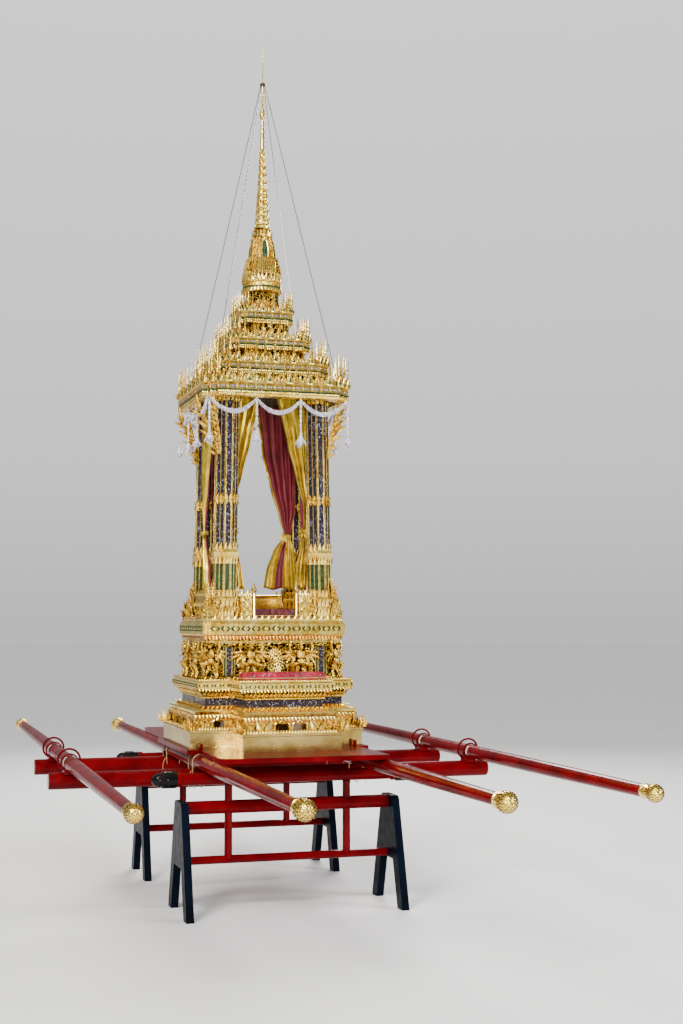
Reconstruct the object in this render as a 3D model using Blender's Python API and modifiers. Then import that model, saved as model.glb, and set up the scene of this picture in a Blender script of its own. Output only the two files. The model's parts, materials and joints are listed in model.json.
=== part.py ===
"""A royal palanquin on its two trestles: a gilded, spired pavilion carried on four poles.

X is across the palanquin, -Y is its front, +Z is up, and the origin is on the floor below its middle.
Every length is in metres. The frame, the pavilion's base, its open throne room and its tiered roof
are built from the floor upwards, and each piece is a closed solid of its own. The two outer poles
slide lengthwise through their rings, so each of them hangs, with its finials, on its own empty.
"""

from math import cos, pi, radians, sin

import bmesh
import bpy
from mathutils import Matrix, Vector

GAP = 0.0003  # left between two pieces that touch

# Trestles: a splayed A-frame at each end of a tube ladder
TRESTLE_X = 0.6115
TRESTLE_Y = 0.666
LEG_THICKNESS = 0.043
APEX_Z = 0.615
APEX_HALF_DEPTH = 0.100
FOOT_OUTER = 0.270
FOOT_INNER = 0.185
GUSSET_Z = 0.262
GUSSET_HALF_DEPTH = 0.105
APEX_CHAMFER = 0.018
MIDDLE_RAIL_Z = 0.577
MIDDLE_RAIL_RADIUS = 0.0375
BOTTOM_RAIL_Z = 0.287
BOTTOM_RAIL_RADIUS = 0.023
UPRIGHT_X = 0.346
UPRIGHT_RADIUS = 0.0225

# Carrying frame
BEAM_TOP_Z = 0.7695  # the inner poles rest on this height
CROSS_TUBE_Y = 0.410
CROSS_TUBE_HALF = 1.318
CROSS_TUBE_RADIUS = 0.0475
SHORT_BEAM_RADIUS = 0.034
SHORT_BEAM_CAP_START = 0.610
SHORT_BEAM_HALF = 0.770
INNER_POLE_X = 0.4686
INNER_POLE_RADIUS = 0.0405
INNER_BALL_RADIUS = 0.0535
OUTER_POLE_X = 1.2033
OUTER_POLE_Z = 0.825
OUTER_POLE_RADIUS = 0.040
OUTER_BALL_RADIUS = 0.045
POLE_END = 2.600
POLE_TIP = 2.740
POLE_PARALLEL_HALF = 0.900
POLE_END_RADIUS = 0.031
HOOP_RADIUS = 0.062
HOOP_ROD = 0.0055
HOOP_RISE = 0.012
HOOP_LEAN = 10
BAND_RADIUS = 0.0475
BAND_ROD = 0.0045
BAND_OFFSET = 0.034
SADDLE_RUNNING_GAP = 0.0005
DECK_THICKNESS = 0.028
DECK_FRONT_Y = -1.060
DECK_BACK_Y = 1.400
DECK_WING_HALF = 0.475
DECK_MIDDLE_HALF = 0.545
DECK_MIDDLE_REACH = 0.470

# Pavilion base, from the deck up to the throne floor
PLINTH_TOP_Z = 0.980
GALLERY_TOP_Z = 1.100
BASE_TOP_Z = 1.270
FRIEZE_TOP_Z = 1.485
FLOOR_Z = 1.620
GALLERY_WALL = 0.035
GALLERY_CEILING = 0.012

# Throne room
COLUMN_FOOT_XY = 0.295
COLUMN_HEAD_XY = 0.275
COLUMN_HALF = 0.064
COLUMN_BASE_HALF = 0.080
COLUMN_BASE_TOP_Z = 2.050
COLUMN_HEAD_Z = 2.998
CEILING_Z = 3.000
RAIL_TOP_Z = 1.765
RAIL_Y = 0.360
POST_X = 0.129
CURTAIN_Y = 0.190
CURTAIN_THICKNESS = 0.050

# Roof: (lower edge, top of its cornice, half width) of each tier, and the half width of its neck
EAVE = (2.937, 3.022, 0.455, 0.362)
TIER_2 = (3.088, 3.165, 0.350, 0.222)
TIER_3 = (3.258, 3.326, 0.257, 0.140)
TIER_4 = (3.436, 3.511, 0.167, 0.088)
TIER_5_BOTTOM_Z = 3.648
BELL_BOTTOM_Z = 3.727
SPIRE_BOTTOM_Z = 4.066
STAY_COLLAR_Z = 4.996
TIP_Z = 5.220
EAVE_REDENT = 0.040
STAY_FOOT_XY = 0.385
STAY_RADIUS = 0.0022
GARLAND_HOOK_XY = 0.420
GARLAND_SWAG_X = 0.135
GARLAND_Z = 2.925
GARLAND_DROP = 0.075
GARLAND_RADIUS = 0.010
TASSEL_DROP = 0.285

MATERIALS = {  # colour, metallic, roughness
    "red_lacquer": ((0.36, 0.008, 0.010), 0.0, 0.16),
    "black_lacquer": ((0.010, 0.012, 0.016), 0.0, 0.30),
    "gold_leaf": ((0.86, 0.60, 0.19), 1.0, 0.28),
    "gilded_plate": ((0.78, 0.64, 0.36), 1.0, 0.22),
    "glass_mosaic": ((0.06, 0.08, 0.34), 0.2, 0.18),
    "gold_satin": ((0.55, 0.38, 0.07), 0.1, 0.35),
    "crimson_velvet": ((0.42, 0.01, 0.05), 0.0, 0.60),
    "white_flowers": ((0.80, 0.80, 0.88), 0.0, 0.70),
    "stay_wire": ((0.62, 0.58, 0.50), 0.9, 0.30),
}


def start():
    """Clears the file and makes the collections for the parts and for the cutters."""
    for old in list(bpy.data.objects):
        bpy.data.objects.remove(old)
    for name in ("palanquin", "cutters"):
        made = bpy.data.collections.new(name)
        bpy.context.scene.collection.children.link(made)
    for name, (colour, metallic, roughness) in MATERIALS.items():
        material = bpy.data.materials.new(name)
        material.use_nodes = True
        shader = material.node_tree.nodes["Principled BSDF"]
        shader.inputs["Base Color"].default_value = (*colour, 1)
        shader.inputs["Metallic"].default_value = metallic
        shader.inputs["Roughness"].default_value = roughness


def put(name, mesh, material, collection="palanquin"):
    """Makes an object of a mesh in a collection, with its own copy of a material."""
    made = bpy.data.objects.new(name, mesh)
    bpy.data.collections[collection].objects.link(made)
    if material:
        own = bpy.data.materials[material].copy()
        own.name = name + "_" + material
        made.data.materials.append(own)
    return made


def from_bmesh(name, bm, material, collection="palanquin"):
    """Turns a bmesh into an object."""
    bmesh.ops.recalc_face_normals(bm, faces=bm.faces)
    mesh = bpy.data.meshes.new(name)
    bm.to_mesh(mesh)
    bm.free()
    return put(name, mesh, material, collection)


def smooth(made, angle=40):
    """Shades a round piece smooth, with its sharp edges kept."""
    made.data.shade_smooth()
    made.data.set_sharp_from_angle(angle=radians(angle))
    return made


def join_boolean(made, other, operation):
    """Adds an EXACT Boolean with another object, which becomes a hidden guide."""
    for collection in list(other.users_collection):
        collection.objects.unlink(other)
    bpy.data.collections["cutters"].objects.link(other)
    other.hide_render = True
    other.display_type = "WIRE"
    modifier = made.modifiers.new(operation.lower(), "BOOLEAN")
    modifier.operation = operation
    modifier.solver = "EXACT"
    modifier.object = other
    return made


def four_fold(quarter):
    """Mirrors the corners of the first quadrant into a whole outline, counter-clockwise."""
    back = quarter[::-1]
    return (
        list(quarter)
        + [(-x, y) for x, y in back]
        + [(-x, -y) for x, y in quarter]
        + [(x, -y) for x, y in back]
    )


def redented(half_x, half_y, step, count=2):
    """A plan with stepped corners: returns the function that gives its outline at an offset."""

    def outline(offset):
        quarter = []
        for k in range(count + 1):
            x = half_x + offset - k * step
            y = half_y + offset - (count - k) * step
            quarter.append((x, y))
            if k < count:
                quarter.append((x - step, y))
        return four_fold(quarter)

    return outline


def porched(half_x, half_y, porch_x, porch_y):
    """A plan with a porch at the front and at the back: returns its outline at an offset."""

    def outline(offset):
        x, y, px, py = (v + offset for v in (half_x, half_y, porch_x, porch_y))
        return four_fold([(x, y), (px, y), (px, py)])

    return outline


def stack_mesh(outline, levels, lean=(0, 0)):
    """Raises a plan through (height, offset) levels; lean moves it in X and Y per metre of height."""
    bm = bmesh.new()
    base_z = levels[0][0]
    ring = [bm.verts.new((x, y, base_z)) for x, y in outline(levels[0][1])]
    cap = bm.faces.new(ring)
    floor = cap
    for z, offset in levels[1:]:
        made = bmesh.ops.extrude_face_region(bm, geom=[cap])
        if cap is not floor:
            bmesh.ops.delete(bm, geom=[cap], context="FACES_ONLY")
        cap = next(g for g in made["geom"] if isinstance(g, bmesh.types.BMFace))
        for vert, (x, y) in zip(cap.verts, outline(offset)):
            vert.co = (x + lean[0] * (z - base_z), y + lean[1] * (z - base_z), z)
    return bm


def stack(name, outline, levels, material):
    """A moulded block: a plan raised through its (height, offset) levels."""
    return from_bmesh(name, stack_mesh(outline, levels), material)


def turned(name, profile, material, steps=16):
    """A turned piece from (radius, height) points that run down its outer side, from axis to axis."""
    mesh = bpy.data.meshes.new(name)
    points = [(radius, 0, height) for radius, height in profile]
    mesh.from_pydata(points, [(k, k + 1) for k in range(len(points) - 1)], [])
    made = put(name, mesh, material)
    screw = made.modifiers.new("turn", "SCREW")
    screw.steps = screw.render_steps = steps
    screw.use_merge_vertices = True
    screw.merge_threshold = 0.0001
    screw.use_smooth_shade = True
    return made


def rod(name, radius, length, material, axis="Z", at=(0, 0, 0), segments=20):
    """A straight rod, centred on a point, along X, Y or Z."""
    turn = {"X": Matrix.Rotation(pi / 2, 4, "Y"), "Y": Matrix.Rotation(pi / 2, 4, "X"), "Z": Matrix()}[axis]
    bm = bmesh.new()
    bmesh.ops.create_cone(
        bm, cap_ends=True, segments=segments, radius1=radius, radius2=radius, depth=length,
        matrix=Matrix.Translation(at) @ turn,
    )
    return smooth(from_bmesh(name, bm, material))


def box(name, low, high, material, bevel=0.0):
    """A box between two corners, with rounded edges if bevel is more than nothing."""
    low, high = Vector(low), Vector(high)
    bm = bmesh.new()
    place = Matrix.Translation((low + high) / 2) @ Matrix.Diagonal((*(high - low), 1))
    bmesh.ops.create_cube(bm, size=1, matrix=place)
    made = from_bmesh(name, bm, material)
    if bevel:
        edge = made.modifiers.new("edges", "BEVEL")
        edge.width = bevel
        edge.segments = 2
    return made


def boxes(name, corners):
    """Several separate boxes in one guide mesh."""
    bm = bmesh.new()
    for low, high in corners:
        low, high = Vector(low), Vector(high)
        place = Matrix.Translation((low + high) / 2) @ Matrix.Diagonal((*(high - low), 1))
        bmesh.ops.create_cube(bm, size=1, matrix=place)
    return from_bmesh(name, bm, None, "cutters")


def flat_outline(name, points, thickness, material):
    """A flat outline in local XY as a 2D curve, extruded to a thickness about its own plane."""
    curve = bpy.data.curves.new(name, "CURVE")
    curve.dimensions = "2D"
    curve.fill_mode = "BOTH"
    curve.extrude = thickness / 2
    spline = curve.splines.new("POLY")
    spline.points.add(len(points) - 1)
    for point, (x, y) in zip(spline.points, points):
        point.co = (x, y, 0, 1)
    spline.use_cyclic_u = True
    return put(name, curve, material)


def tube_mesh(name, points, radius, cyclic, sides=2):
    """The closed mesh of a tube along a route, made from a bevelled curve."""
    curve = bpy.data.curves.new(name, "CURVE")
    curve.dimensions = "3D"
    curve.bevel_depth = radius
    curve.bevel_resolution = sides
    curve.use_fill_caps = not cyclic
    spline = curve.splines.new("POLY")
    spline.points.add(len(points) - 1)
    for point, place in zip(spline.points, points):
        point.co = (*place, 1)
    spline.use_cyclic_u = cyclic
    guide = put(name + "_route", curve, None, "cutters")
    bpy.context.view_layer.update()
    mesh = bpy.data.meshes.new_from_object(guide.evaluated_get(bpy.context.evaluated_depsgraph_get()))
    bpy.data.objects.remove(guide)
    bm = bmesh.new()
    bm.from_mesh(mesh)
    bmesh.ops.remove_doubles(bm, verts=bm.verts, dist=0.00002)
    return bm


def sides():
    """The name and the sign of each side."""
    return (("left", -1), ("right", 1))


def ends():
    """The name and the sign of each end."""
    return (("front", -1), ("back", 1))


def trestles():
    """Two trestles: four A-frames and two tube ladders."""
    half = [
        (APEX_HALF_DEPTH - APEX_CHAMFER, APEX_Z),
        (APEX_HALF_DEPTH, APEX_Z - APEX_CHAMFER),
        (FOOT_OUTER, 0.0),
        (FOOT_INNER, 0.0),
        (GUSSET_HALF_DEPTH, GUSSET_Z),
    ]
    outline = half + [(-x, z) for x, z in half[::-1]]
    rail_half = TRESTLE_X - LEG_THICKNESS / 2 - GAP
    beam_underside = BEAM_TOP_Z - 2 * SHORT_BEAM_RADIUS
    for end, y in ends():
        for side, x in sides():
            frame = flat_outline(f"trestle_frame_{end}_{side}", outline, LEG_THICKNESS, "black_lacquer")
            frame.location = (x * TRESTLE_X, y * TRESTLE_Y, 0)
            frame.rotation_euler = (pi / 2, 0, pi / 2)
        place = (0, y * TRESTLE_Y, MIDDLE_RAIL_Z)
        ladder = rod(f"trestle_ladder_{end}", MIDDLE_RAIL_RADIUS, 2 * rail_half, "red_lacquer", "X", place)
        place = (0, y * TRESTLE_Y, BOTTOM_RAIL_Z)
        low = rod(f"bottom_rail_{end}", BOTTOM_RAIL_RADIUS, 2 * rail_half, None, "X", place, 12)
        join_boolean(ladder, low, "UNION")
        height = beam_underside - GAP - BOTTOM_RAIL_Z
        for side, x in sides():
            place = (x * UPRIGHT_X, y * TRESTLE_Y, BOTTOM_RAIL_Z + height / 2)
            upright = rod(f"upright_{end}_{side}", UPRIGHT_RADIUS, height, None, "Z", place, 12)
            join_boolean(ladder, upright, "UNION")


def cross_beams():
    """The long round cross tubes and the short beams with their carved, tapered ends."""
    for end, y in ends():
        place = (0, y * CROSS_TUBE_Y, BEAM_TOP_Z - GAP - CROSS_TUBE_RADIUS)
        tube = rod(f"cross_tube_{end}", CROSS_TUBE_RADIUS, 2 * CROSS_TUBE_HALF, "red_lacquer", "X", place)
        rim = tube.modifiers.new("rim", "BEVEL")
        rim.width = 0.004
        rim.segments = 1
        rim.limit_method = "ANGLE"
        rim.angle_limit = radians(60)
        swell = SHORT_BEAM_RADIUS + 0.007
        half_profile = [
            (0, SHORT_BEAM_HALF),
            (0.016, SHORT_BEAM_HALF),
            (0.030, SHORT_BEAM_HALF - 0.014),
            (swell - 0.003, SHORT_BEAM_HALF - 0.050),
            (swell, SHORT_BEAM_HALF - 0.075),
            (swell, SHORT_BEAM_CAP_START + 0.006),
            (SHORT_BEAM_RADIUS, SHORT_BEAM_CAP_START),
        ]
        profile = half_profile + [(radius, -x) for radius, x in half_profile[::-1]]
        beam = turned(f"short_beam_{end}", profile, "red_lacquer")
        beam.location = (0, y * TRESTLE_Y, BEAM_TOP_Z - GAP - SHORT_BEAM_RADIUS)
        beam.rotation_euler = (0, pi / 2, 0)


def pole(name, radius, x, z, parent=None):
    """A carrying pole along Y, parallel in the middle and tapering to both ends."""
    middle = (radius + POLE_END_RADIUS) / 2 + 0.0015
    half_profile = [
        (0, POLE_END),
        (POLE_END_RADIUS, POLE_END),
        (middle, (POLE_END + POLE_PARALLEL_HALF) / 2),
        (radius, POLE_PARALLEL_HALF),
    ]
    made = turned(name, half_profile + [(r, -y) for r, y in half_profile[::-1]], "red_lacquer", 20)
    made.location = (x, 0, z)
    made.rotation_euler = (-pi / 2, 0, 0)
    if parent:
        made.location = (0, 0, 0)
        made.parent = parent
    return made


def finial_profile(ball):
    """A gilt finial's profile: a ferrule on the pole's end, a ball and a small button."""
    centre = POLE_TIP - 0.006 - ball
    start = POLE_END + GAP
    sleeve = POLE_END_RADIUS + 0.003
    arc = [(ball * cos(radians(a)), centre + ball * sin(radians(a))) for a in range(70, -51, -24)]
    button = [(0, POLE_TIP), (0.008, POLE_TIP), (0.014, POLE_TIP - 0.008)]
    return button + arc + [(sleeve, centre - ball * 0.90), (sleeve, start), (0, start)]


def poles():
    """The two fixed inner poles, the two sliding outer ones, and their finials."""
    inner_z = BEAM_TOP_Z + INNER_POLE_RADIUS
    for side, x in sides():
        pole(f"inner_pole_{side}", INNER_POLE_RADIUS, x * INNER_POLE_X, inner_z)
        axis = bpy.data.objects.new(f"outer_pole_{side}_axis", None)
        bpy.data.collections["palanquin"].objects.link(axis)
        axis.location = (x * OUTER_POLE_X, 0, OUTER_POLE_Z)
        pole(f"outer_pole_{side}", OUTER_POLE_RADIUS, 0, 0, axis)
        for end, y in ends():
            tip = turned(f"finial_inner_{end}_{side}", finial_profile(INNER_BALL_RADIUS), "gold_leaf", 12)
            tip.location = (x * INNER_POLE_X, 0, inner_z)
            tip.rotation_euler = (-y * pi / 2, 0, 0)
            tip = turned(f"finial_outer_{end}_{side}", finial_profile(OUTER_BALL_RADIUS), "gold_leaf", 12)
            tip.rotation_euler = (-y * pi / 2, 0, 0)
            tip.parent = axis


def ring_mesh(radius, thickness, centre, lean):
    """A hoop of round rod that stands across Y and leans back by an angle."""
    bm = bmesh.new()
    section = bmesh.ops.create_circle(bm, segments=6, radius=thickness)["verts"]
    bmesh.ops.rotate(bm, verts=section, cent=(0, 0, 0), matrix=Matrix.Rotation(pi / 2, 3, "Z"))
    bmesh.ops.translate(bm, verts=section, vec=(radius, 0, 0))
    bmesh.ops.spin(
        bm, geom=list(bm.verts) + list(bm.edges), cent=(0, 0, 0), axis=(0, 1, 0), angle=2 * pi,
        steps=18, use_merge=True, dvec=(0, 0, 0),
    )
    bmesh.ops.remove_doubles(bm, verts=bm.verts, dist=0.00005)
    place = Matrix.Translation(centre) @ Matrix.Rotation(radians(lean), 4, "X")
    bmesh.ops.transform(bm, matrix=place, verts=bm.verts)
    return bm


def pole_rings():
    """Four ring fittings: a saddle on the cross tube, a loose hoop and a close band for the pole."""
    tube_top = BEAM_TOP_Z - GAP
    for end, y in ends():
        for side, x in sides():
            name = f"pole_ring_{end}_{side}"
            cx, cy = x * OUTER_POLE_X, y * CROSS_TUBE_Y
            low = (cx - 0.032, cy - 0.046, tube_top - 0.010)
            high = (cx + 0.032, cy + 0.046, OUTER_POLE_Z - 0.022)
            ring = box(name, low, high, "red_lacquer")
            centre = (cx, cy + 0.012, OUTER_POLE_Z + HOOP_RISE)
            hoop = from_bmesh(name + "_hoop", ring_mesh(HOOP_RADIUS, HOOP_ROD, centre, HOOP_LEAN), None)
            join_boolean(ring, hoop, "UNION")
            centre = (cx, cy - BAND_OFFSET, OUTER_POLE_Z)
            band = from_bmesh(name + "_band", ring_mesh(BAND_RADIUS, BAND_ROD, centre, 0), None)
            join_boolean(ring, band, "UNION")
            place = (cx, cy, OUTER_POLE_Z)
            bore = rod(name + "_bore", OUTER_POLE_RADIUS + SADDLE_RUNNING_GAP, 0.3, None, "Y", place, 20)
            join_boolean(ring, bore, "DIFFERENCE")
            place = (cx, cy, tube_top - CROSS_TUBE_RADIUS)
            seat = rod(name + "_seat", CROSS_TUBE_RADIUS + GAP, 0.3, None, "X", place)
            join_boolean(ring, seat, "DIFFERENCE")


def deck():
    """The lacquered deck board on the inner poles, wider under the plinth."""
    wing, middle, reach = DECK_WING_HALF, DECK_MIDDLE_HALF, DECK_MIDDLE_REACH
    right = [
        (wing, DECK_FRONT_Y), (wing, -reach), (middle, -reach),
        (middle, reach), (wing, reach), (wing, DECK_BACK_Y),
    ]
    outline = right + [(-x, y) for x, y in right[::-1]]
    board = flat_outline("deck_board", outline, DECK_THICKNESS, "red_lacquer")
    board.location = (0, 0, deck_top() - DECK_THICKNESS / 2)


def deck_top():
    """The height of the deck's upper face."""
    return BEAM_TOP_Z + 2 * INNER_POLE_RADIUS + GAP + DECK_THICKNESS


def gallery_windows():
    """The guides that open the gallery's windows: two in each porch, one beside it, four on a side."""
    low, high = PLINTH_TOP_Z + 0.014, PLINTH_TOP_Z + 0.056
    found = []
    for y in (-1, 1):
        for x in (-1, 1):
            found.append(window(x * 0.052, y * 0.72, 0.042, 0.10, low, high))
            found.append(window(x * 0.345, y * 0.385, 0.036, 0.10, low, high))
            for offset in (0.10, 0.29):
                found.append(window(x * 0.485, y * offset, 0.10, 0.030, low, high + 0.012))
    return found


def window(x, y, half_x, half_y, low, high):
    """The two corners of one window's guide."""
    return (x - half_x, y - half_y, low), (x + half_x, y + half_y, high)


def pavilion_base():
    """Plinth, footed gallery, mosaic and lotus mouldings, guardian frieze and throne platform."""
    start_z = deck_top() + GAP
    plinth = porched(0.5205, 0.415, 0.288, 0.770)
    levels = [
        (start_z, 0), (PLINTH_TOP_Z - 0.013, 0),
        (PLINTH_TOP_Z - 0.010, 0.006), (PLINTH_TOP_Z, 0.006),
    ]
    stack("plinth", plinth, levels, "gilded_plate")

    gallery = porched(0.480, 0.395, 0.262, 0.722)
    low, top = PLINTH_TOP_Z + GAP, GALLERY_TOP_Z
    levels = [
        (low, 0.010), (low + 0.011, 0.010), (low + 0.016, -0.006), (top - 0.034, -0.010),
        (top - 0.028, 0.002), (top - 0.010, 0.008), (top, 0.004),
    ]
    body = stack("gallery", gallery, levels, "gold_leaf")
    inside = [(low - 0.01, -GALLERY_WALL), (top - GALLERY_CEILING, -GALLERY_WALL)]
    hollow = from_bmesh("gallery_hollow", stack_mesh(gallery, inside), None)
    join_boolean(body, hollow, "DIFFERENCE")
    join_boolean(body, boxes("gallery_windows", gallery_windows()), "DIFFERENCE")

    base = porched(0.415, 0.345, 0.225, 0.590)
    low, top = GALLERY_TOP_Z + GAP, BASE_TOP_Z
    levels = [
        (low, 0.040), (low + 0.010, 0.026), (low + 0.018, 0.004), (low + 0.022, 0), (low + 0.060, 0),
        (low + 0.064, 0.010), (low + 0.074, 0.014), (low + 0.080, 0.010), (low + 0.096, 0.020),
        (low + 0.114, 0.040), (low + 0.122, 0.054), (top - 0.012, 0.055), (top - 0.008, 0.046), (top, 0.046),
    ]
    stack("base_cornice", base, levels, "gold_leaf")

    frieze = redented(0.405, 0.362, 0.026)
    low, top = BASE_TOP_Z + GAP, FRIEZE_TOP_Z
    levels = [(low, 0.018), (low + 0.016, 0.018), (low + 0.024, 0)]
    levels += [(top - 0.022, 0), (top - 0.014, 0.010), (top, 0.016)]
    stack("guardian_frieze", frieze, levels, "gold_leaf")

    platform = redented(0.405, 0.362, 0.018)
    low, top = FRIEZE_TOP_Z + GAP, FLOOR_Z
    levels = [
        (low, 0.002), (low + 0.012, 0.002), (low + 0.030, 0.012), (low + 0.044, 0.022), (low + 0.050, 0.030),
        (top - 0.022, 0.030), (top - 0.016, 0.022), (top, 0.016),
    ]
    stack("throne_platform", platform, levels, "gold_leaf")


def cushion(name, low, high, material, bevel=0.016):
    """The plain closed solid of a cushion."""
    return box(name, low, high, material, bevel)


def throne_room():
    """Cushions, railing, gate posts and backrest on the throne platform."""
    top = BASE_TOP_Z + GAP
    cushion("step_cushion", (-0.262, -0.628, top), (0.262, -0.420, top + 0.042), "crimson_velvet")
    floor = FLOOR_Z + GAP
    cushion("seat_cushion", (-0.205, -0.290, floor), (0.205, 0.240, floor + 0.058), "crimson_velvet")
    post_inner = POST_X + 0.0135 + GAP
    base_edge = COLUMN_FOOT_XY - COLUMN_BASE_HALF - column_lean() * (RAIL_TOP_Z + 0.02 - FLOOR_Z) - GAP
    for side, x in sides():
        near, far = sorted((x * post_inner, x * base_edge))
        low, high = (near, -RAIL_Y - 0.010, floor), (far, -RAIL_Y + 0.010, RAIL_TOP_Z)
        box(f"rail_panel_front_{side}", low, high, "gold_leaf", 0.003)
        near, far = sorted((x * (RAIL_Y - 0.010), x * (RAIL_Y + 0.010)))
        low, high = (near, -base_edge, floor), (far, base_edge, RAIL_TOP_Z)
        box(f"rail_panel_side_{side}", low, high, "gold_leaf", 0.003)
        profile = [
            (0, 1.842), (0.003, 1.836), (0.007, 1.822), (0.016, 1.803), (0.017, 1.793), (0.009, 1.782),
            (0.0125, 1.775), (0.0125, floor), (0, floor),
        ]
        turned(f"gate_post_{side}", profile, "gilded_plate", 16).location = (x * POST_X, -RAIL_Y, 0)
    rest = box("backrest", (-base_edge, 0.285, floor), (base_edge, 0.303, RAIL_TOP_Z), "gilded_plate", 0.003)
    place = (0, 0.294, RAIL_TOP_Z)
    bar = rod("backrest_bar", 0.013, 2 * base_edge - 0.004, None, "X", place, 12)
    join_boolean(rest, bar, "UNION")


def column_lean():
    """How far a column leans towards the middle for each metre of height."""
    return (COLUMN_FOOT_XY - COLUMN_HEAD_XY) / (COLUMN_HEAD_Z - FLOOR_Z)


def columns():
    """Four redented columns that lean in a little, each with its moulded base."""
    lean = -column_lean()
    outline = redented(COLUMN_HALF, COLUMN_HALF, 0.020)
    foot = COLUMN_BASE_HALF - COLUMN_HALF
    low, base = FLOOR_Z + GAP, COLUMN_BASE_TOP_Z
    levels = [
        (low, foot), (low + 0.030, foot), (low + 0.045, 0.005), (low + 0.125, 0.014), (low + 0.165, 0.002),
        (base - 0.090, 0.002), (base - 0.030, 0.012), (base, 0), (COLUMN_HEAD_Z, -0.002),
    ]
    for end, y in ends():
        for side, x in sides():
            bm = stack_mesh(outline, levels, (x * lean, y * lean))
            bmesh.ops.translate(bm, verts=bm.verts, vec=(x * COLUMN_FOOT_XY, y * COLUMN_FOOT_XY, 0))
            from_bmesh(f"column_{end}_{side}", bm, "glass_mosaic")


def curtains():
    """Four gathered curtains: wide at the ceiling, narrow at the tie, flaring at the hem."""
    half = [
        (0.026, 2.985), (0.052, 2.780), (0.098, 2.480), (0.142, 2.230), (0.148, 2.160),
        (0.120, 2.060), (0.092, 1.930), (0.076, 1.805),
    ]
    outer = [(0.194, 1.805), (0.198, 2.060), (0.190, 2.180), (0.196, 2.480), (0.198, 2.985)]
    outline = half + outer
    for end, y in ends():
        for side, x in sides():
            points = [(x * across, height) for across, height in outline]
            name = f"curtain_{end}_{side}"
            cloth = flat_outline(name, points[:: int(x)], CURTAIN_THICKNESS, "gold_satin")
            cloth.location = (0, y * CURTAIN_Y, 0)
            cloth.rotation_euler = (pi / 2, 0, 0)


def tier_levels(lower, cornice_top, half, neck, upper):
    """A roof tier's levels: a rolled lower edge, a flat cornice band, and the neck above it."""
    roll = (cornice_top - lower) * 0.40
    inset = neck - half
    return [
        (lower, -0.030), (lower + roll * 0.15, -0.012), (lower + roll * 0.50, 0),
        (lower + roll * 0.85, -0.005), (lower + roll, -0.012), (lower + roll + 0.004, -0.004),
        (cornice_top - 0.012, -0.004), (cornice_top - 0.008, 0.003), (cornice_top, 0.003),
        (cornice_top + 0.0005, inset), (upper - GAP, inset),
    ]


def roof():
    """The eave with its hollow underside, and the tiers above it."""
    lower, top, half, neck = EAVE
    outline = redented(half, half, EAVE_REDENT)
    eave = stack("roof_eave", outline, tier_levels(lower, top, half, neck, TIER_2[0]), "gold_leaf")
    recess = [(lower - 0.02, -0.052), (CEILING_Z, -0.052)]
    hollow = from_bmesh("eave_hollow", stack_mesh(outline, recess), None)
    join_boolean(eave, hollow, "DIFFERENCE")
    above = {2: TIER_3[0], 3: TIER_4[0], 4: TIER_5_BOTTOM_Z}
    for number, tier in ((2, TIER_2), (3, TIER_3), (4, TIER_4)):
        lower, top, half, neck = tier
        outline = redented(half, half, EAVE_REDENT * half / EAVE[2])
        levels = tier_levels(lower, top, half, neck, above[number])
        stack(f"roof_tier_{number}", outline, levels, "gold_leaf")
    low = TIER_5_BOTTOM_Z
    profile = [
        (0, BELL_BOTTOM_Z - GAP), (0.100, BELL_BOTTOM_Z - GAP), (0.126, low + 0.074), (0.126, low + 0.066),
        (0.121, low + 0.062), (0.121, low + 0.040), (0.114, low + 0.034), (0.122, low + 0.028),
        (0.126, low + 0.016), (0.118, low + 0.004), (0.098, low), (0, low),
    ]
    turned("roof_tier_5", profile, "gold_leaf", 20)


def bell_and_spire():
    """The bell, the ringed spire with its lotus knob, and the slim rod at the top."""
    low = BELL_BOTTOM_Z
    profile = [
        (0, SPIRE_BOTTOM_Z - GAP), (0.052, SPIRE_BOTTOM_Z - GAP), (0.058, 4.050), (0.050, 4.036),
        (0.060, 4.022), (0.062, 4.004), (0.066, 3.950), (0.074, 3.880), (0.088, 3.810),
        (0.102, 3.770), (0.104, 3.748), (0.094, low), (0, low),
    ]
    turned("roof_bell", profile, "gold_leaf")
    rings = [(4.300, 0.031), (4.352, 0.029), (4.402, 0.026), (4.450, 0.023), (4.496, 0.021), (4.540, 0.018)]
    column = [(0, TIP_Z), (0.0022, TIP_Z), (0.0028, 5.020), (0.0075, 5.008), (0.0075, 4.996)]
    column += [(0.0055, 4.985), (0.0060, 4.850), (0.0115, 4.832), (0.0190, 4.808), (0.0190, 4.796)]
    column += [(0.0110, 4.770), (0.0100, 4.760)]
    column += [(0.0150, 4.590), (0.0160, 4.565)]
    for z, radius in reversed(rings):
        column += [(radius * 0.78, z + 0.022), (radius, z)]
    column += [(0.030, 4.262), (0.036, 4.215), (0.034, 4.206), (0.043, 4.160), (0.040, 4.150), (0.047, 4.090)]
    column += [(0.050, SPIRE_BOTTOM_Z), (0, SPIRE_BOTTOM_Z)]
    turned("spire", column, "gold_leaf", 10)


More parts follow.
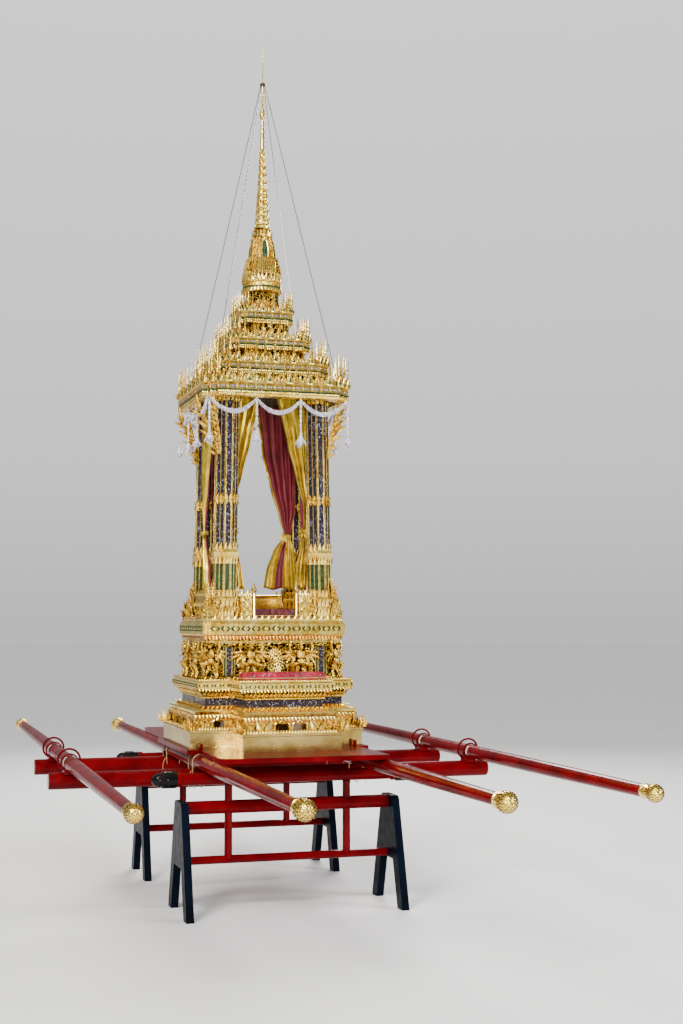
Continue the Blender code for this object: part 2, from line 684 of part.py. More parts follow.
def stays():
    """Four taut wires from the collar round the top rod to the corners of the lowest roof tier."""
    low, high = STAY_COLLAR_Z - 0.006, STAY_COLLAR_Z + 0.006
    inner, outer = 0.0085, 0.0175
    profile = [(outer, high), (outer, low), (inner, low), (inner, high), (outer, high)]
    collar = turned("spire_stays", profile, "stay_wire", 12)
    reach = (inner + outer) / 2 * cos(pi / 4)
    foot_z = EAVE[1] + 0.0055
    for k, (x, y) in enumerate(((1, 1), (-1, 1), (-1, -1), (1, -1))):
        head = (x * reach, y * reach, STAY_COLLAR_Z)
        foot = (x * STAY_FOOT_XY, y * STAY_FOOT_XY, foot_z)
        wire = tube_mesh(f"stay_{k}", [head, foot], STAY_RADIUS, False, 1)
        join_boolean(collar, from_bmesh(f"stay_wire_{k}", wire, None), "UNION")


def garland_hooks():
    """The hooks under the eave that hold the garland, in order round it: three swags to a side."""
    side = GARLAND_HOOK_XY
    quarter = [(-side, -side), (-GARLAND_SWAG_X, -side - 0.012), (GARLAND_SWAG_X, -side - 0.012)]
    found = []
    for k in range(4):
        turn = Matrix.Rotation(k * pi / 2, 2)
        found += [turn @ Vector(point) for point in quarter]
    return found


def garland():
    """One flower chain swagged from hook to hook round the eave, with a tassel string at each hook."""
    hooks = garland_hooks()
    route = []
    steps = 4
    for k, hook in enumerate(hooks):
        following = hooks[(k + 1) % len(hooks)]
        for s in range(steps):
            t = s / steps
            sag = 4 * t * (1 - t) * GARLAND_DROP
            place = hook.lerp(following, t)
            route.append((place.x, place.y, GARLAND_Z - sag))
    rope = tube_mesh("garland", route, GARLAND_RADIUS, True, 0)
    chain = from_bmesh("flower_garland", rope, "white_flowers")
    bm = bmesh.new()
    for hook in hooks:
        place = Matrix.Translation((hook.x, hook.y, GARLAND_Z - TASSEL_DROP / 2))
        bmesh.ops.create_cone(
            bm, cap_ends=True, segments=6, radius1=0.006, radius2=0.004, depth=TASSEL_DROP, matrix=place,
        )
    join_boolean(chain, from_bmesh("garland_strings", bm, None), "UNION")


def main():
    """Builds the palanquin from the floor up."""
    start()
    trestles()
    cross_beams()
    poles()
    pole_rings()
    deck()
    pavilion_base()
    throne_room()
    columns()
    curtains()
    roof()
    bell_and_spire()
    stays()
    garland()


main()
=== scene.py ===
"""Looks for a royal palanquin: gilded carving, glass mosaic, satin, flowers and red lacquer.

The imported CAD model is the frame. Its hard pieces stay and take procedural finishes; the carved
rows, mosaic strips, figures, curtains, cushions and flowers are laid on them here, in metres.
"""

import json
import logging
import random
from dataclasses import dataclass, field
from enum import Enum
from math import atan2, cos, pi, radians, sin, tau
from typing import Callable, Iterator, Sequence

import bmesh
import bpy
from mathutils import Matrix, Vector

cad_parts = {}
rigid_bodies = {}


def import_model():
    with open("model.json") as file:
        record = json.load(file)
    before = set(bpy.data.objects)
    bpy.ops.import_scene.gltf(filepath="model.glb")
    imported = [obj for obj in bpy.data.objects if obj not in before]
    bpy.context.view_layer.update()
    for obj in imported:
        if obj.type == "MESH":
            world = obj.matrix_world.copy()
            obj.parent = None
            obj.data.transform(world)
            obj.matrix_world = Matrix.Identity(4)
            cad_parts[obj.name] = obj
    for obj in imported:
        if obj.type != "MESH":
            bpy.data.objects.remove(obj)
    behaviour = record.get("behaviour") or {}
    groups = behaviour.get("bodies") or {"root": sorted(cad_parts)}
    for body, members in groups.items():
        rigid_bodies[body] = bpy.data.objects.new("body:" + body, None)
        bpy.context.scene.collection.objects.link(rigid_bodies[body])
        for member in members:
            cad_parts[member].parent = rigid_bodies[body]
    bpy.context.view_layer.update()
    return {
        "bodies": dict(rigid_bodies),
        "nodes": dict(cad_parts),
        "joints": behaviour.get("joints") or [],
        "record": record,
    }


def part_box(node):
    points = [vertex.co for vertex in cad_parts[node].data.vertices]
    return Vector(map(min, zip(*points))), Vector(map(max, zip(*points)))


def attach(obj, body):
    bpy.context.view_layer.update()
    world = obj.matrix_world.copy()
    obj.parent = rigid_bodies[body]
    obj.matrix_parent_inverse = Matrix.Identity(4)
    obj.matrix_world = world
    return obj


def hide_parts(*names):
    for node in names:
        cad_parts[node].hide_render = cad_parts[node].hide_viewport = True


LOG = logging.getLogger("palanquin")
Outline = Callable[[float], list]


class Body(Enum):
    """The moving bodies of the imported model."""

    MAIN = "palanquin"
    OUTER_LEFT = "outer_pole_left_body"
    OUTER_RIGHT = "outer_pole_right_body"


class Slot(Enum):
    """The record's material slots."""

    RED = "red_lacquer"
    BLACK = "black_lacquer"
    GOLD = "gold_leaf"
    GLASS = "glass_mosaic"
    SATIN = "gold_satin"
    VELVET = "crimson_velvet"
    FLOWERS = "white_flowers"


# ---------------------------------------------------------------- finishes

Socket = bpy.types.NodeSocket
Value = Socket | float | tuple


class Graph:
    """A material's node tree, with short ways to add nodes and to join them."""

    def __init__(self, name: str) -> None:
        """Makes the material.

        Args:
            name: the material's name.
        """
        self.material = bpy.data.materials.new(name)
        self.material.use_nodes = True
        self.tree = self.material.node_tree
        self.shader = self.tree.nodes["Principled BSDF"]
        self.place = self.node("ShaderNodeTexCoord").outputs["Object"]

    def node(self, kind: str, inputs: dict | None = None, **settings) -> bpy.types.Node:
        """Adds a node.

        Args:
            kind: the node's type.
            inputs: values or sockets by input name or number.
            settings: the node's own properties.

        Returns:
            The node.
        """
        made = self.tree.nodes.new(kind)
        for key, value in settings.items():
            setattr(made, key, value)
        for key, value in (inputs or {}).items():
            self.put(made.inputs[key], value)
        return made

    def put(self, socket: Socket, value: Value) -> None:
        """Sets a socket to a constant, or links another socket to it.

        Args:
            socket: the input.
            value: a constant or an output socket.
        """
        if isinstance(value, Socket):
            self.tree.links.new(value, socket)
        elif socket.type == "RGBA" and len(value) == 3:
            socket.default_value = (*value, 1)
        else:
            socket.default_value = value

    def noise(
        self, scale: float, detail: float = 3, rough: float = 0.55, warp: float = 0, vector: Socket | None = None
    ) -> Socket:
        """Fractal noise's value, at a scale in waves per metre."""
        inputs = {"Vector": vector or self.place, "Scale": scale, "Detail": detail, "Roughness": rough}
        return self.node("ShaderNodeTexNoise", {**inputs, "Distortion": warp}).outputs[0]

    def cells(
        self, scale: float, feature: str = "F1", vector: Socket | None = None, jitter: float = 1.0
    ) -> bpy.types.Node:
        """A Voronoi texture's node, at a scale in cells per metre."""
        inputs = {"Vector": vector or self.place, "Scale": scale, "Randomness": jitter}
        return self.node("ShaderNodeTexVoronoi", inputs, feature=feature)

    def warped(self, scale: float, amount: float) -> Socket:
        """The object's coordinates pushed about by noise.

        Args:
            scale: waves per metre of the push.
            amount: how far, in metres.

        Returns:
            A vector socket.
        """
        noise = self.node("ShaderNodeTexNoise", {"Vector": self.place, "Scale": scale, "Detail": 2.0})
        push = self.node("ShaderNodeVectorMath", {0: noise.outputs["Color"], 1: (0.5, 0.5, 0.5)}, operation="SUBTRACT")
        inputs = {0: push.outputs[0], 1: (amount, amount, amount), 2: self.place}
        return self.node("ShaderNodeVectorMath", inputs, operation="MULTIPLY_ADD").outputs[0]

    def ramp(self, value: Value, stops: Sequence[tuple]) -> Socket:
        """Maps a value to colours.

        Args:
            value: the value socket.
            stops: (place, colour) pairs.

        Returns:
            The colour socket.
        """
        made = self.node("ShaderNodeValToRGB", {"Fac": value})
        band = made.color_ramp
        while len(band.elements) < len(stops):
            band.elements.new(0.5)
        for element, (at, colour) in zip(band.elements, stops):
            element.position = at
            element.color = (*colour, 1)
        return made.outputs["Color"]

    def scale(self, value: Value, low: float, high: float, from_low: float = 0, from_high: float = 1) -> Socket:
        """Maps a value from one range to another."""
        return self.node("ShaderNodeMapRange", {0: value, 1: from_low, 2: from_high, 3: low, 4: high}).outputs[0]

    def math(self, operation: str, a: Value, b: Value = 0.0) -> Socket:
        """Joins two values by a Math node's operation."""
        return self.node("ShaderNodeMath", {0: a, 1: b}, operation=operation).outputs[0]

    def mix(self, amount: Value, a: Value, b: Value) -> Socket:
        """Mixes two colours, by the amount of the second."""
        return self.node("ShaderNodeMix", {0: amount, 6: a, 7: b}, data_type="RGBA").outputs[2]

    def bump(self, height: Value, distance: float, strength: float = 1.0, normal: Socket | None = None) -> Socket:
        """Adds a bump.

        Args:
            height: the height socket.
            distance: how deep, in metres.
            strength: how strong.
            normal: an earlier normal to add to.

        Returns:
            The normal socket.
        """
        made = self.node("ShaderNodeBump", {"Height": height, "Distance": distance, "Strength": strength})
        if normal:
            self.put(made.inputs["Normal"], normal)
        return made.outputs["Normal"]

    def finish(self, **values) -> bpy.types.Material:
        """Sets the shader's inputs.

        Args:
            values: values or sockets by input name, with _ for a space.

        Returns:
            The material.
        """
        for key, value in values.items():
            self.put(self.shader.inputs[key.replace("_", " ")], value)
        return self.material


@dataclass(frozen=True)
class Gilding:
    """Gold over carved or plain wood, with painted shade, darker and redder, in the hollows and carved grooves."""

    name: str
    tones: tuple = ((0.50, 0.23, 0.012), (0.84, 0.50, 0.045), (0.97, 0.71, 0.13))
    # Colour of the painted shade in crevices and carved grooves.
    hollow_shade: tuple = (0.10, 0.024, 0.004)
    carve: float = 70.0
    depth: float = 0.004
    roughness: tuple = (0.18, 0.38)
    reach: float = 0.030
    pierced: bool = False

    def build(self) -> bpy.types.Material:
        """Makes the finish.

        Returns:
            The material.
        """
        g = Graph(self.name)
        low, middle, high = self.tones
        worn = g.noise(11, 5, 0.6)
        colour = g.ramp(worn, ((0.30, low), (0.46, middle), (0.66, high)))
        rough = g.scale(g.noise(45, 4), *self.roughness, 0.3, 0.7)
        normal = g.bump(g.noise(260, 3), 0.0006, 0.5)
        # Painted shade: ambient occlusion mixes the gold towards a dark red-brown in crevices.
        open_share = g.node("ShaderNodeAmbientOcclusion", {"Distance": self.reach}, samples=6).outputs["AO"]
        colour = g.mix(g.scale(open_share, 0.92, 0.0, 0.25, 0.80), colour, self.hollow_shade)
        if self.depth:
            scroll = g.warped(self.carve * 0.35, 0.9 / self.carve)
            edge = g.cells(self.carve, "DISTANCE_TO_EDGE", scroll).outputs["Distance"]
            groove = g.scale(edge, 0, 1, 0.0, 0.22)
            fine = g.cells(self.carve * 2.6, "SMOOTH_F1", scroll).outputs["Distance"]
            height = g.math("ADD", groove, g.math("MULTIPLY", fine, -0.45))
            normal = g.bump(height, self.depth, 1.0, normal)
            # Painted shade in the carved grooves; in pierced carving the openings are painted near black.
            groove_shade = g.scale(groove, 0, 1, 0.35, 0.75) if self.pierced else g.scale(groove, 0.7, 0.0, 0.05, 0.40)
            colour = g.mix(groove_shade, colour, self.hollow_shade)
        return g.finish(Base_Color=colour, Metallic=1.0, Roughness=rough, Normal=normal)


@dataclass(frozen=True)
class Plate:
    """Smooth gilded sheet, with slight waves, rubbed patches and finger marks."""

    name: str
    light: tuple = (0.84, 0.65, 0.22)
    dull: tuple = (0.58, 0.39, 0.09)

    def build(self) -> bpy.types.Material:
        """Makes the finish.

        Returns:
            The material.
        """
        g = Graph(self.name)
        cloud = g.noise(7, 4, 0.6)
        colour = g.ramp(cloud, ((0.32, self.dull), (0.60, self.light)))
        marks = g.noise(34, 6, 0.7, 0.8)
        rough = g.scale(marks, 0.10, 0.30, 0.35, 0.70)
        normal = g.bump(g.noise(5, 2), 0.006, 0.35)
        normal = g.bump(g.noise(180, 2), 0.0004, 0.4, normal)
        return g.finish(Base_Color=colour, Metallic=1.0, Roughness=rough, Normal=normal)


@dataclass(frozen=True)
class Mosaic:
    """Small pieces of coloured mirror glass, each tilted its own way, with a fine joint between."""

    name: str
    tones: tuple
    cell: float = 0.0068
    joint: tuple = (0.07, 0.045, 0.015)

    def build(self) -> bpy.types.Material:
        """Makes the finish.

        Returns:
            The material.
        """
        g = Graph(self.name)
        piece = g.cells(1 / self.cell, jitter=0.75)
        tint = g.node("ShaderNodeSeparateColor", {0: piece.outputs["Color"]})
        stops = [((k + 0.5) / len(self.tones), tone) for k, tone in enumerate(self.tones)]
        colour = g.ramp(tint.outputs[0], stops)
        edge = g.cells(1 / self.cell, "DISTANCE_TO_EDGE", jitter=0.75).outputs["Distance"]
        seam = g.scale(edge, 1, 0, 0.03, 0.10)
        colour = g.mix(seam, colour, self.joint)
        tilt = g.node("ShaderNodeVectorMath", {0: piece.outputs["Color"], 1: (0.5, 0.5, 0.5)}, operation="SUBTRACT")
        normal = g.node("ShaderNodeNewGeometry").outputs["Normal"]
        inputs = {0: tilt.outputs[0], 1: (0.30, 0.30, 0.30), 2: normal}
        leaned = g.node("ShaderNodeVectorMath", inputs, operation="MULTIPLY_ADD")
        facing = g.node("ShaderNodeVectorMath", {0: leaned.outputs[0]}, operation="NORMALIZE").outputs[0]
        shine = g.bump(edge, 0.0010, 0.5, facing)
        rough = g.scale(tint.outputs[1], 0.06, 0.22)
        return g.finish(Base_Color=colour, Roughness=rough, Normal=shine, Specular_IOR_Level=0.18)


@dataclass(frozen=True)
class Lacquer:
    """Brushed lacquer over wood: deep colour, a clear gloss, faint brush marks, dust and scuffs."""

    name: str
    deep: tuple
    light: tuple
    roughness: tuple = (0.12, 0.27)
    coat: float = 0.045
    dust: float = 0.010

    def build(self) -> bpy.types.Material:
        """Makes the finish.

        Returns:
            The material.
        """
        g = Graph(self.name)
        cloud = g.noise(5, 5, 0.6)
        colour = g.ramp(cloud, ((0.30, self.deep), (0.68, self.light)))
        scuff = g.scale(g.noise(55, 8, 0.75, 1.2), 0, 1, 0.63, 0.72)
        colour = g.mix(g.math("MULTIPLY", scuff, 0.12), colour, tuple(v * 0.45 + 0.03 for v in self.light))
        up = g.node("ShaderNodeSeparateXYZ", {0: g.node("ShaderNodeNewGeometry").outputs["Normal"]}).outputs[2]
        settled = g.math("MULTIPLY", g.scale(up, 0, self.dust, 0.4, 1), g.scale(g.noise(19, 4), 0.2, 1, 0.35, 0.65))
        colour = g.mix(settled, colour, (0.45, 0.36, 0.32))
        low, high = self.roughness
        rough = g.math("ADD", g.scale(g.noise(24, 4), low, high, 0.3, 0.7), g.math("MULTIPLY", scuff, 0.2))
        normal = g.bump(g.noise(14, 2), 0.0025, 0.25)
        normal = g.bump(g.noise(420, 2), 0.0003, 0.35, normal)
        return g.finish(
            Base_Color=colour, Roughness=rough, Normal=normal, Specular_IOR_Level=0.03,
            Coat_Weight=self.coat, Coat_Roughness=0.06,
        )


@dataclass(frozen=True)
class Cloth:
    """Woven cloth: satin with a bright thread, or a short pile."""

    name: str
    deep: tuple
    light: tuple
    metallic: float = 0.0
    roughness: float = 0.4
    sheen: float = 0.3
    thread: float = 900.0
    crease: float = 0.002

    def build(self) -> bpy.types.Material:
        """Makes the finish.

        Returns:
            The material.
        """
        g = Graph(self.name)
        colour = g.ramp(g.noise(16, 4, 0.6), ((0.34, self.deep), (0.62, self.light)))
        threads = {"Vector": g.place, "Scale": self.thread / 20, "Distortion": 3.0, "Detail": 2.0}
        weave = g.node("ShaderNodeTexWave", threads)
        normal = g.bump(g.noise(38, 3, 0.5, 1.5), self.crease, 0.6)
        normal = g.bump(weave.outputs["Fac"], 0.0002, 0.3, normal)
        rough = g.scale(g.noise(60, 3), self.roughness - 0.06, self.roughness + 0.10)
        return g.finish(
            Base_Color=colour, Metallic=self.metallic, Roughness=rough, Normal=normal,
            Sheen_Weight=self.sheen, Sheen_Roughness=0.35, Sheen_Tint=(*self.light, 1),
        )


@dataclass(frozen=True)
class Petal:
    """Fresh petals and buds, each clump its own tint, with painted shade where they crowd together."""

    name: str
    shade: tuple = (0.36, 0.34, 0.50)
    light: tuple = (0.70, 0.69, 0.78)

    def build(self) -> bpy.types.Material:
        """Makes the finish.

        Returns:
            The material.
        """
        g = Graph(self.name)
        clump = g.node("ShaderNodeSeparateColor", {0: g.cells(95).outputs["Color"]}).outputs[0]
        colour = g.ramp(clump, ((0.05, self.shade), (0.45, self.light), (0.9, (0.86, 0.84, 0.86))))
        normal = g.bump(g.noise(300, 3), 0.0012, 0.6)
        # Painted shade: ambient occlusion darkens the petals where they crowd together.
        open_share = g.node("ShaderNodeAmbientOcclusion", {"Distance": 0.014}, samples=6).outputs["AO"]
        colour = g.mix(g.scale(open_share, 0.85, 0.0, 0.25, 0.85), colour, (0.12, 0.10, 0.14))
        return g.finish(
            Base_Color=colour, Roughness=g.scale(g.noise(80, 2), 0.42, 0.68), Normal=normal,
            Subsurface_Weight=0.25, Subsurface_Scale=0.01,
        )


@dataclass
class Finishes:
    """Every finish of the palanquin, built once."""

    made: dict = field(default_factory=dict)

    def build(self) -> "Finishes":
        """Makes the materials.

        Returns:
            The finishes.
        """
        # The pale glint cells are a painted highlight: mirror pieces shown as catching the light.
        navy, royal, painted_glint = (0.0004, 0.001, 0.010), (0.001, 0.004, 0.060), (0.30, 0.36, 0.50)
        blues = (navy, navy, royal, navy, royal, navy, royal, navy, painted_glint, navy, navy, royal)
        greens = ((0.0, 0.014, 0.006), (0.002, 0.050, 0.021), (0.008, 0.110, 0.050))
        silvers = ((0.26, 0.27, 0.28), (0.50, 0.50, 0.46), (0.10, 0.13, 0.22))
        pale = ((0.66, 0.37, 0.03), (0.92, 0.64, 0.10), (1.0, 0.81, 0.24))
        kinds = (
            Gilding("carved_gold", carve=85, depth=0.0012),
            Gilding("bright_gold", pale, (0.22, 0.07, 0.010), depth=0, roughness=(0.15, 0.32)),
            Gilding("moulded_gold", pale, (0.26, 0.09, 0.012), depth=0, roughness=(0.20, 0.36), reach=0.018),
            # pierced_gold paints the openings of its pierced carving near black, as painted shade.
            Gilding("pierced_gold", hollow_shade=(0.012, 0.006, 0.003), carve=48, depth=0.006, pierced=True),
            Gilding("amber_gold", ((0.42, 0.13, 0.012), (0.66, 0.25, 0.028), (0.82, 0.40, 0.06)), depth=0),
            Plate("gilded_sheet"),
            Mosaic("blue_glass", blues),
            Mosaic("green_glass", greens, 0.007),
            Mosaic("silver_glass", silvers, 0.006),
            Lacquer("red_coat", (0.060, 0.0006, 0.002), (0.155, 0.0015, 0.0045)),
            Lacquer("black_coat", (0.0008, 0.0016, 0.004), (0.0022, 0.0050, 0.013), (0.30, 0.46), 0.0, 0.003),
            Lacquer("carved_black", (0.0015, 0.0018, 0.002), (0.006, 0.007, 0.007), (0.18, 0.32), 0.2, 0.01),
            Cloth("satin", (0.36, 0.23, 0.010), (0.74, 0.53, 0.050), 0.80, 0.28, 0.0, crease=0.0008),
            Cloth("lining", (0.12, 0.006, 0.012), (0.20, 0.012, 0.022), 0.0, 0.50, 0.15),
            Cloth("velvet", (0.13, 0.0006, 0.009), (0.36, 0.0022, 0.032), 0.0, 0.22, 0.0, crease=0.008),
            Cloth("maroon", (0.05, 0.0015, 0.006), (0.11, 0.003, 0.012), 0.0, 0.55, 0.15, crease=0.003),
            Cloth("cord", (0.34, 0.19, 0.06), (0.58, 0.36, 0.14), 0.4, 0.45, 0.1, 2600),
            Cloth("tape", (0.55, 0.53, 0.50), (0.72, 0.70, 0.66), 0.0, 0.6, 0.1),
            Petal("blossom"),
            Petal("pink_bud", (0.48, 0.26, 0.24), (0.74, 0.60, 0.58)),
            Plate("wire", (0.26, 0.23, 0.18), (0.12, 0.10, 0.08)),
        )
        self.made = {kind.name: kind.build() for kind in kinds}
        return self

    def __getitem__(self, name: str) -> bpy.types.Material:
        """The finish of that name."""
        return self.made[name]


# ---------------------------------------------------------------- shapes


def spline(points: Sequence[Sequence[float]], steps: int = 4, closed: bool = False) -> list:
    """A smooth curve through points.

    Args:
        points: the points, of two or three numbers.
        steps: how many spans between two of them.
        closed: whether it ends where it starts.

    Returns:
        The curve's points.
    """
    points = [Vector(p) for p in points]
    count = len(points)
    found = []
    for k in range(count if closed else count - 1):
        picks = [k - 1, k, k + 1, k + 2]
        a, b, c, d = (points[i % count] if closed else points[min(max(i, 0), count - 1)] for i in picks)
        for s in range(steps):
            t = s / steps
            square, cube = 2 * a - 5 * b + 4 * c - d, 3 * b - a - 3 * c + d
            found.append(0.5 * (2 * b + (c - a) * t + square * t * t + cube * t**3))
    return found if closed else found + [points[-1]]


def moved(x: float, y: float, z: float) -> Matrix:
    """A shift."""
    return Matrix.Translation((x, y, z))


def sized(x: float, y: float, z: float) -> Matrix:
    """A scale along each axis."""
    return Matrix.Diagonal((x, y, z, 1))


def spun(axis: str, angle: float) -> Matrix:
    """A turn about an axis, in radians."""
    return Matrix.Rotation(angle, 4, axis)


def rolled(axis: str, angle: float) -> Matrix:
    """A turn about an axis, in degrees."""
    return spun(axis, radians(angle))


def quarter_turns() -> list:
    """The turns that bring a front face to each of the four sides."""
    return [spun("Z", face * pi / 2) for face in range(4)]


def middle(node: str) -> Vector:
    """The middle of a CAD node's box."""
    low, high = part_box(node)
    return (low + high) / 2


def lathe(name: str, profile: Sequence, steps: int = 32) -> bpy.types.Mesh:
    """A turned shape about Z.

    Args:
        name: the mesh's name.
        profile: (radius, height) points, from axis to axis.
        steps: how many sides.

    Returns:
        The mesh.
    """
    bm = bmesh.new()
    verts = [bm.verts.new((max(r, 0), 0, z)) for r, z in profile]
    edges = [bm.edges.new(pair) for pair in zip(verts, verts[1:])]
    bmesh.ops.spin(
        bm, geom=verts + edges, cent=(0, 0, 0), axis=(0, 0, 1), dvec=(0, 0, 0),
        angle=tau, steps=steps, use_merge=True,
    )
    bmesh.ops.remove_doubles(bm, verts=bm.verts, dist=1e-5)
    bmesh.ops.recalc_face_normals(bm, faces=bm.faces)
    return to_mesh(name, bm)


def to_mesh(name: str, bm: bmesh.types.BMesh) -> bpy.types.Mesh:
    """Turns a bmesh into a mesh, and frees it.

    Args:
        name: the mesh's name.
        bm: the bmesh.

    Returns:
        The mesh.
    """
    mesh = bpy.data.meshes.new(name)
    bm.to_mesh(mesh)
    bm.free()
    return mesh


def tube(points: Sequence, radius: float | Sequence[float], sides: int = 2, closed: bool = False) -> bpy.types.Mesh:
    """A round tube along points.

    Args:
        points: the route.
        radius: its radius, or one for each point.
        sides: the curve's bevel resolution.
        closed: whether the ends meet.

    Returns:
        The mesh.
    """
    curve = bpy.data.curves.new("route", "CURVE")
    curve.dimensions = "3D"
    curve.bevel_depth = 1
    curve.bevel_resolution = sides
    curve.use_fill_caps = not closed
    line = curve.splines.new("POLY")
    line.points.add(len(points) - 1)
    for k, (point, place) in enumerate(zip(line.points, points)):
        point.co = (*place, 1)
        point.radius = radius if isinstance(radius, (int, float)) else radius[k]
    line.use_cyclic_u = closed
    guide = bpy.data.objects.new("route", curve)
    mesh = bpy.data.meshes.new_from_object(guide)
    bpy.data.objects.remove(guide)
    bpy.data.curves.remove(curve)
    return mesh


def leaf(name: str, sides: int = 6, curl: float = 0.16, lean: float = 0.0, fat: float = 0.26) -> bpy.types.Mesh:
    """A pointed carved leaf, one unit high, that curls towards +Y.

    Args:
        name: the mesh's name.
        sides: how many sides.
        curl: how far its tip comes forward.
        lean: how far its tip bends to +X.
        fat: its thickness over its width.

    Returns:
        The mesh.
    """
    profile = [(0, 0), (0.20, 0.02), (0.27, 0.22), (0.22, 0.45), (0.12, 0.70), (0.045, 0.88), (0, 1)]
    mesh = lathe(name, profile, sides)
    for vert in mesh.vertices:
        x, y, z = vert.co
        vert.co = (x + lean * z * z, y * fat + curl * z * z, z)
    return mesh


def four_fold(quarter: Sequence) -> list:
    """Mirrors the corners of the first quadrant into a whole outline, counter-clockwise.

    Args:
        quarter: the (x, y) corners.

    Returns:
        The outline.
    """
    back = quarter[::-1]
    turns = ((quarter, 1, 1), (back, -1, 1), (quarter, -1, -1), (back, 1, -1))
    return [(x * sx, y * sy) for corners, sx, sy in turns for x, y in corners]


def redented(half_x: float, half_y: float, step: float, count: int = 2) -> Outline:
    """A plan with stepped corners.

    Args:
        half_x: half its width.
        half_y: half its depth.
        step: the size of a corner step.
        count: how many steps.

    Returns:
        The function that gives its outline at an offset.
    """

    def outline(offset: float = 0.0) -> list:
        """The outline.

        Args:
            offset: how far out it is pushed.

        Returns:
            Its corners.
        """
        quarter = []
        for k in range(count + 1):
            x = half_x + offset - k * step
            quarter.append((x, half_y + offset - (count - k) * step))
            if k < count:
                quarter.append((x - step, quarter[-1][1]))
        return four_fold(quarter)

    return outline


def porched(half_x: float, half_y: float, porch_x: float, porch_y: float) -> Outline:
    """A plan with a porch at the front and at the back.

    Args:
        half_x: half its width.
        half_y: half its depth.
        porch_x: half the porches' width.
        porch_y: how far the porches reach.

    Returns:
        The function that gives its outline at an offset.
    """

    def outline(offset: float = 0.0) -> list:
        """The outline.

        Args:
            offset: how far out it is pushed.

        Returns:
            Its corners.
        """
        x, y, px, py = (v + offset for v in (half_x, half_y, porch_x, porch_y))
        return four_fold([(x, y), (px, y), (px, py)])

    return outline


def round_plan(radius: float, sides: int = 24) -> Outline:
    """A round plan.

    Args:
        radius: its radius.
        sides: how many sides.

    Returns:
        The function that gives its outline at an offset.
    """
    return lambda offset=0.0: [
        ((radius + offset) * cos(tau * k / sides), (radius + offset) * sin(tau * k / sides)) for k in range(sides)
    ]


@dataclass
class Site:
    """A place on a plan's edge: X runs along the edge and Y points out."""

    at: Vector
    angle: float
    stretch: float = 1.0

    def frame(self, z: float) -> Matrix:
        """The place itself, at a height."""
        return self.matrix(z, (1, 1, 1))

    def matrix(self, z: float, size: Sequence[float], out: float = 0.0, tip: float = 0.0, flip: int = 1) -> Matrix:
        """Where a pattern goes.

        Args:
            z: its height.
            size: its scale along the edge, outwards and up.
            out: how far it stands out from the edge.
            tip: how far it leans out, in degrees.
            flip: -1 to mirror it along the edge.

        Returns:
            The matrix.
        """
        turn = spun("Z", self.angle)
        place = moved(self.at.x, self.at.y, z) @ turn @ moved(0, out, 0)
        return place @ rolled("X", -tip) @ sized(size[0] * flip, size[1], size[2])


def sites(outline: Sequence, pitch: float, least: float = 0.45) -> Iterator[Site]:
    """Evenly spaced places along a counter-clockwise outline.

    Args:
        outline: the outline's points.
        pitch: the spacing to aim at.
        least: the shortest edge used, as a share of the pitch.

    Yields:
        The sites.
    """
    corners = [Vector(p) for p in outline]
    for a, b in zip(corners, corners[1:] + corners[:1]):
        run = b - a
        if run.length < pitch * least:
            continue
        count = max(1, round(run.length / pitch))
        for k in range(count):
            angle = atan2(-run.y, -run.x)
            yield Site(a + run * ((k + 0.5) / count), angle, run.length / count / pitch)


def corner_sites(outline: Sequence) -> Iterator[Site]:
    """The outward corners of a counter-clockwise outline, each facing along its bisector.

    Args:
        outline: the outline's points.

    Yields:
        The sites.
    """
    corners = [Vector(p) for p in outline]
    for k, b in enumerate(corners):
        before, after = b - corners[k - 1], corners[(k + 1) % len(corners)] - b
        if before.cross(after) > 0:
            way = before.normalized() - after.normalized()
            yield Site(b, atan2(way.y, way.x) - pi / 2)


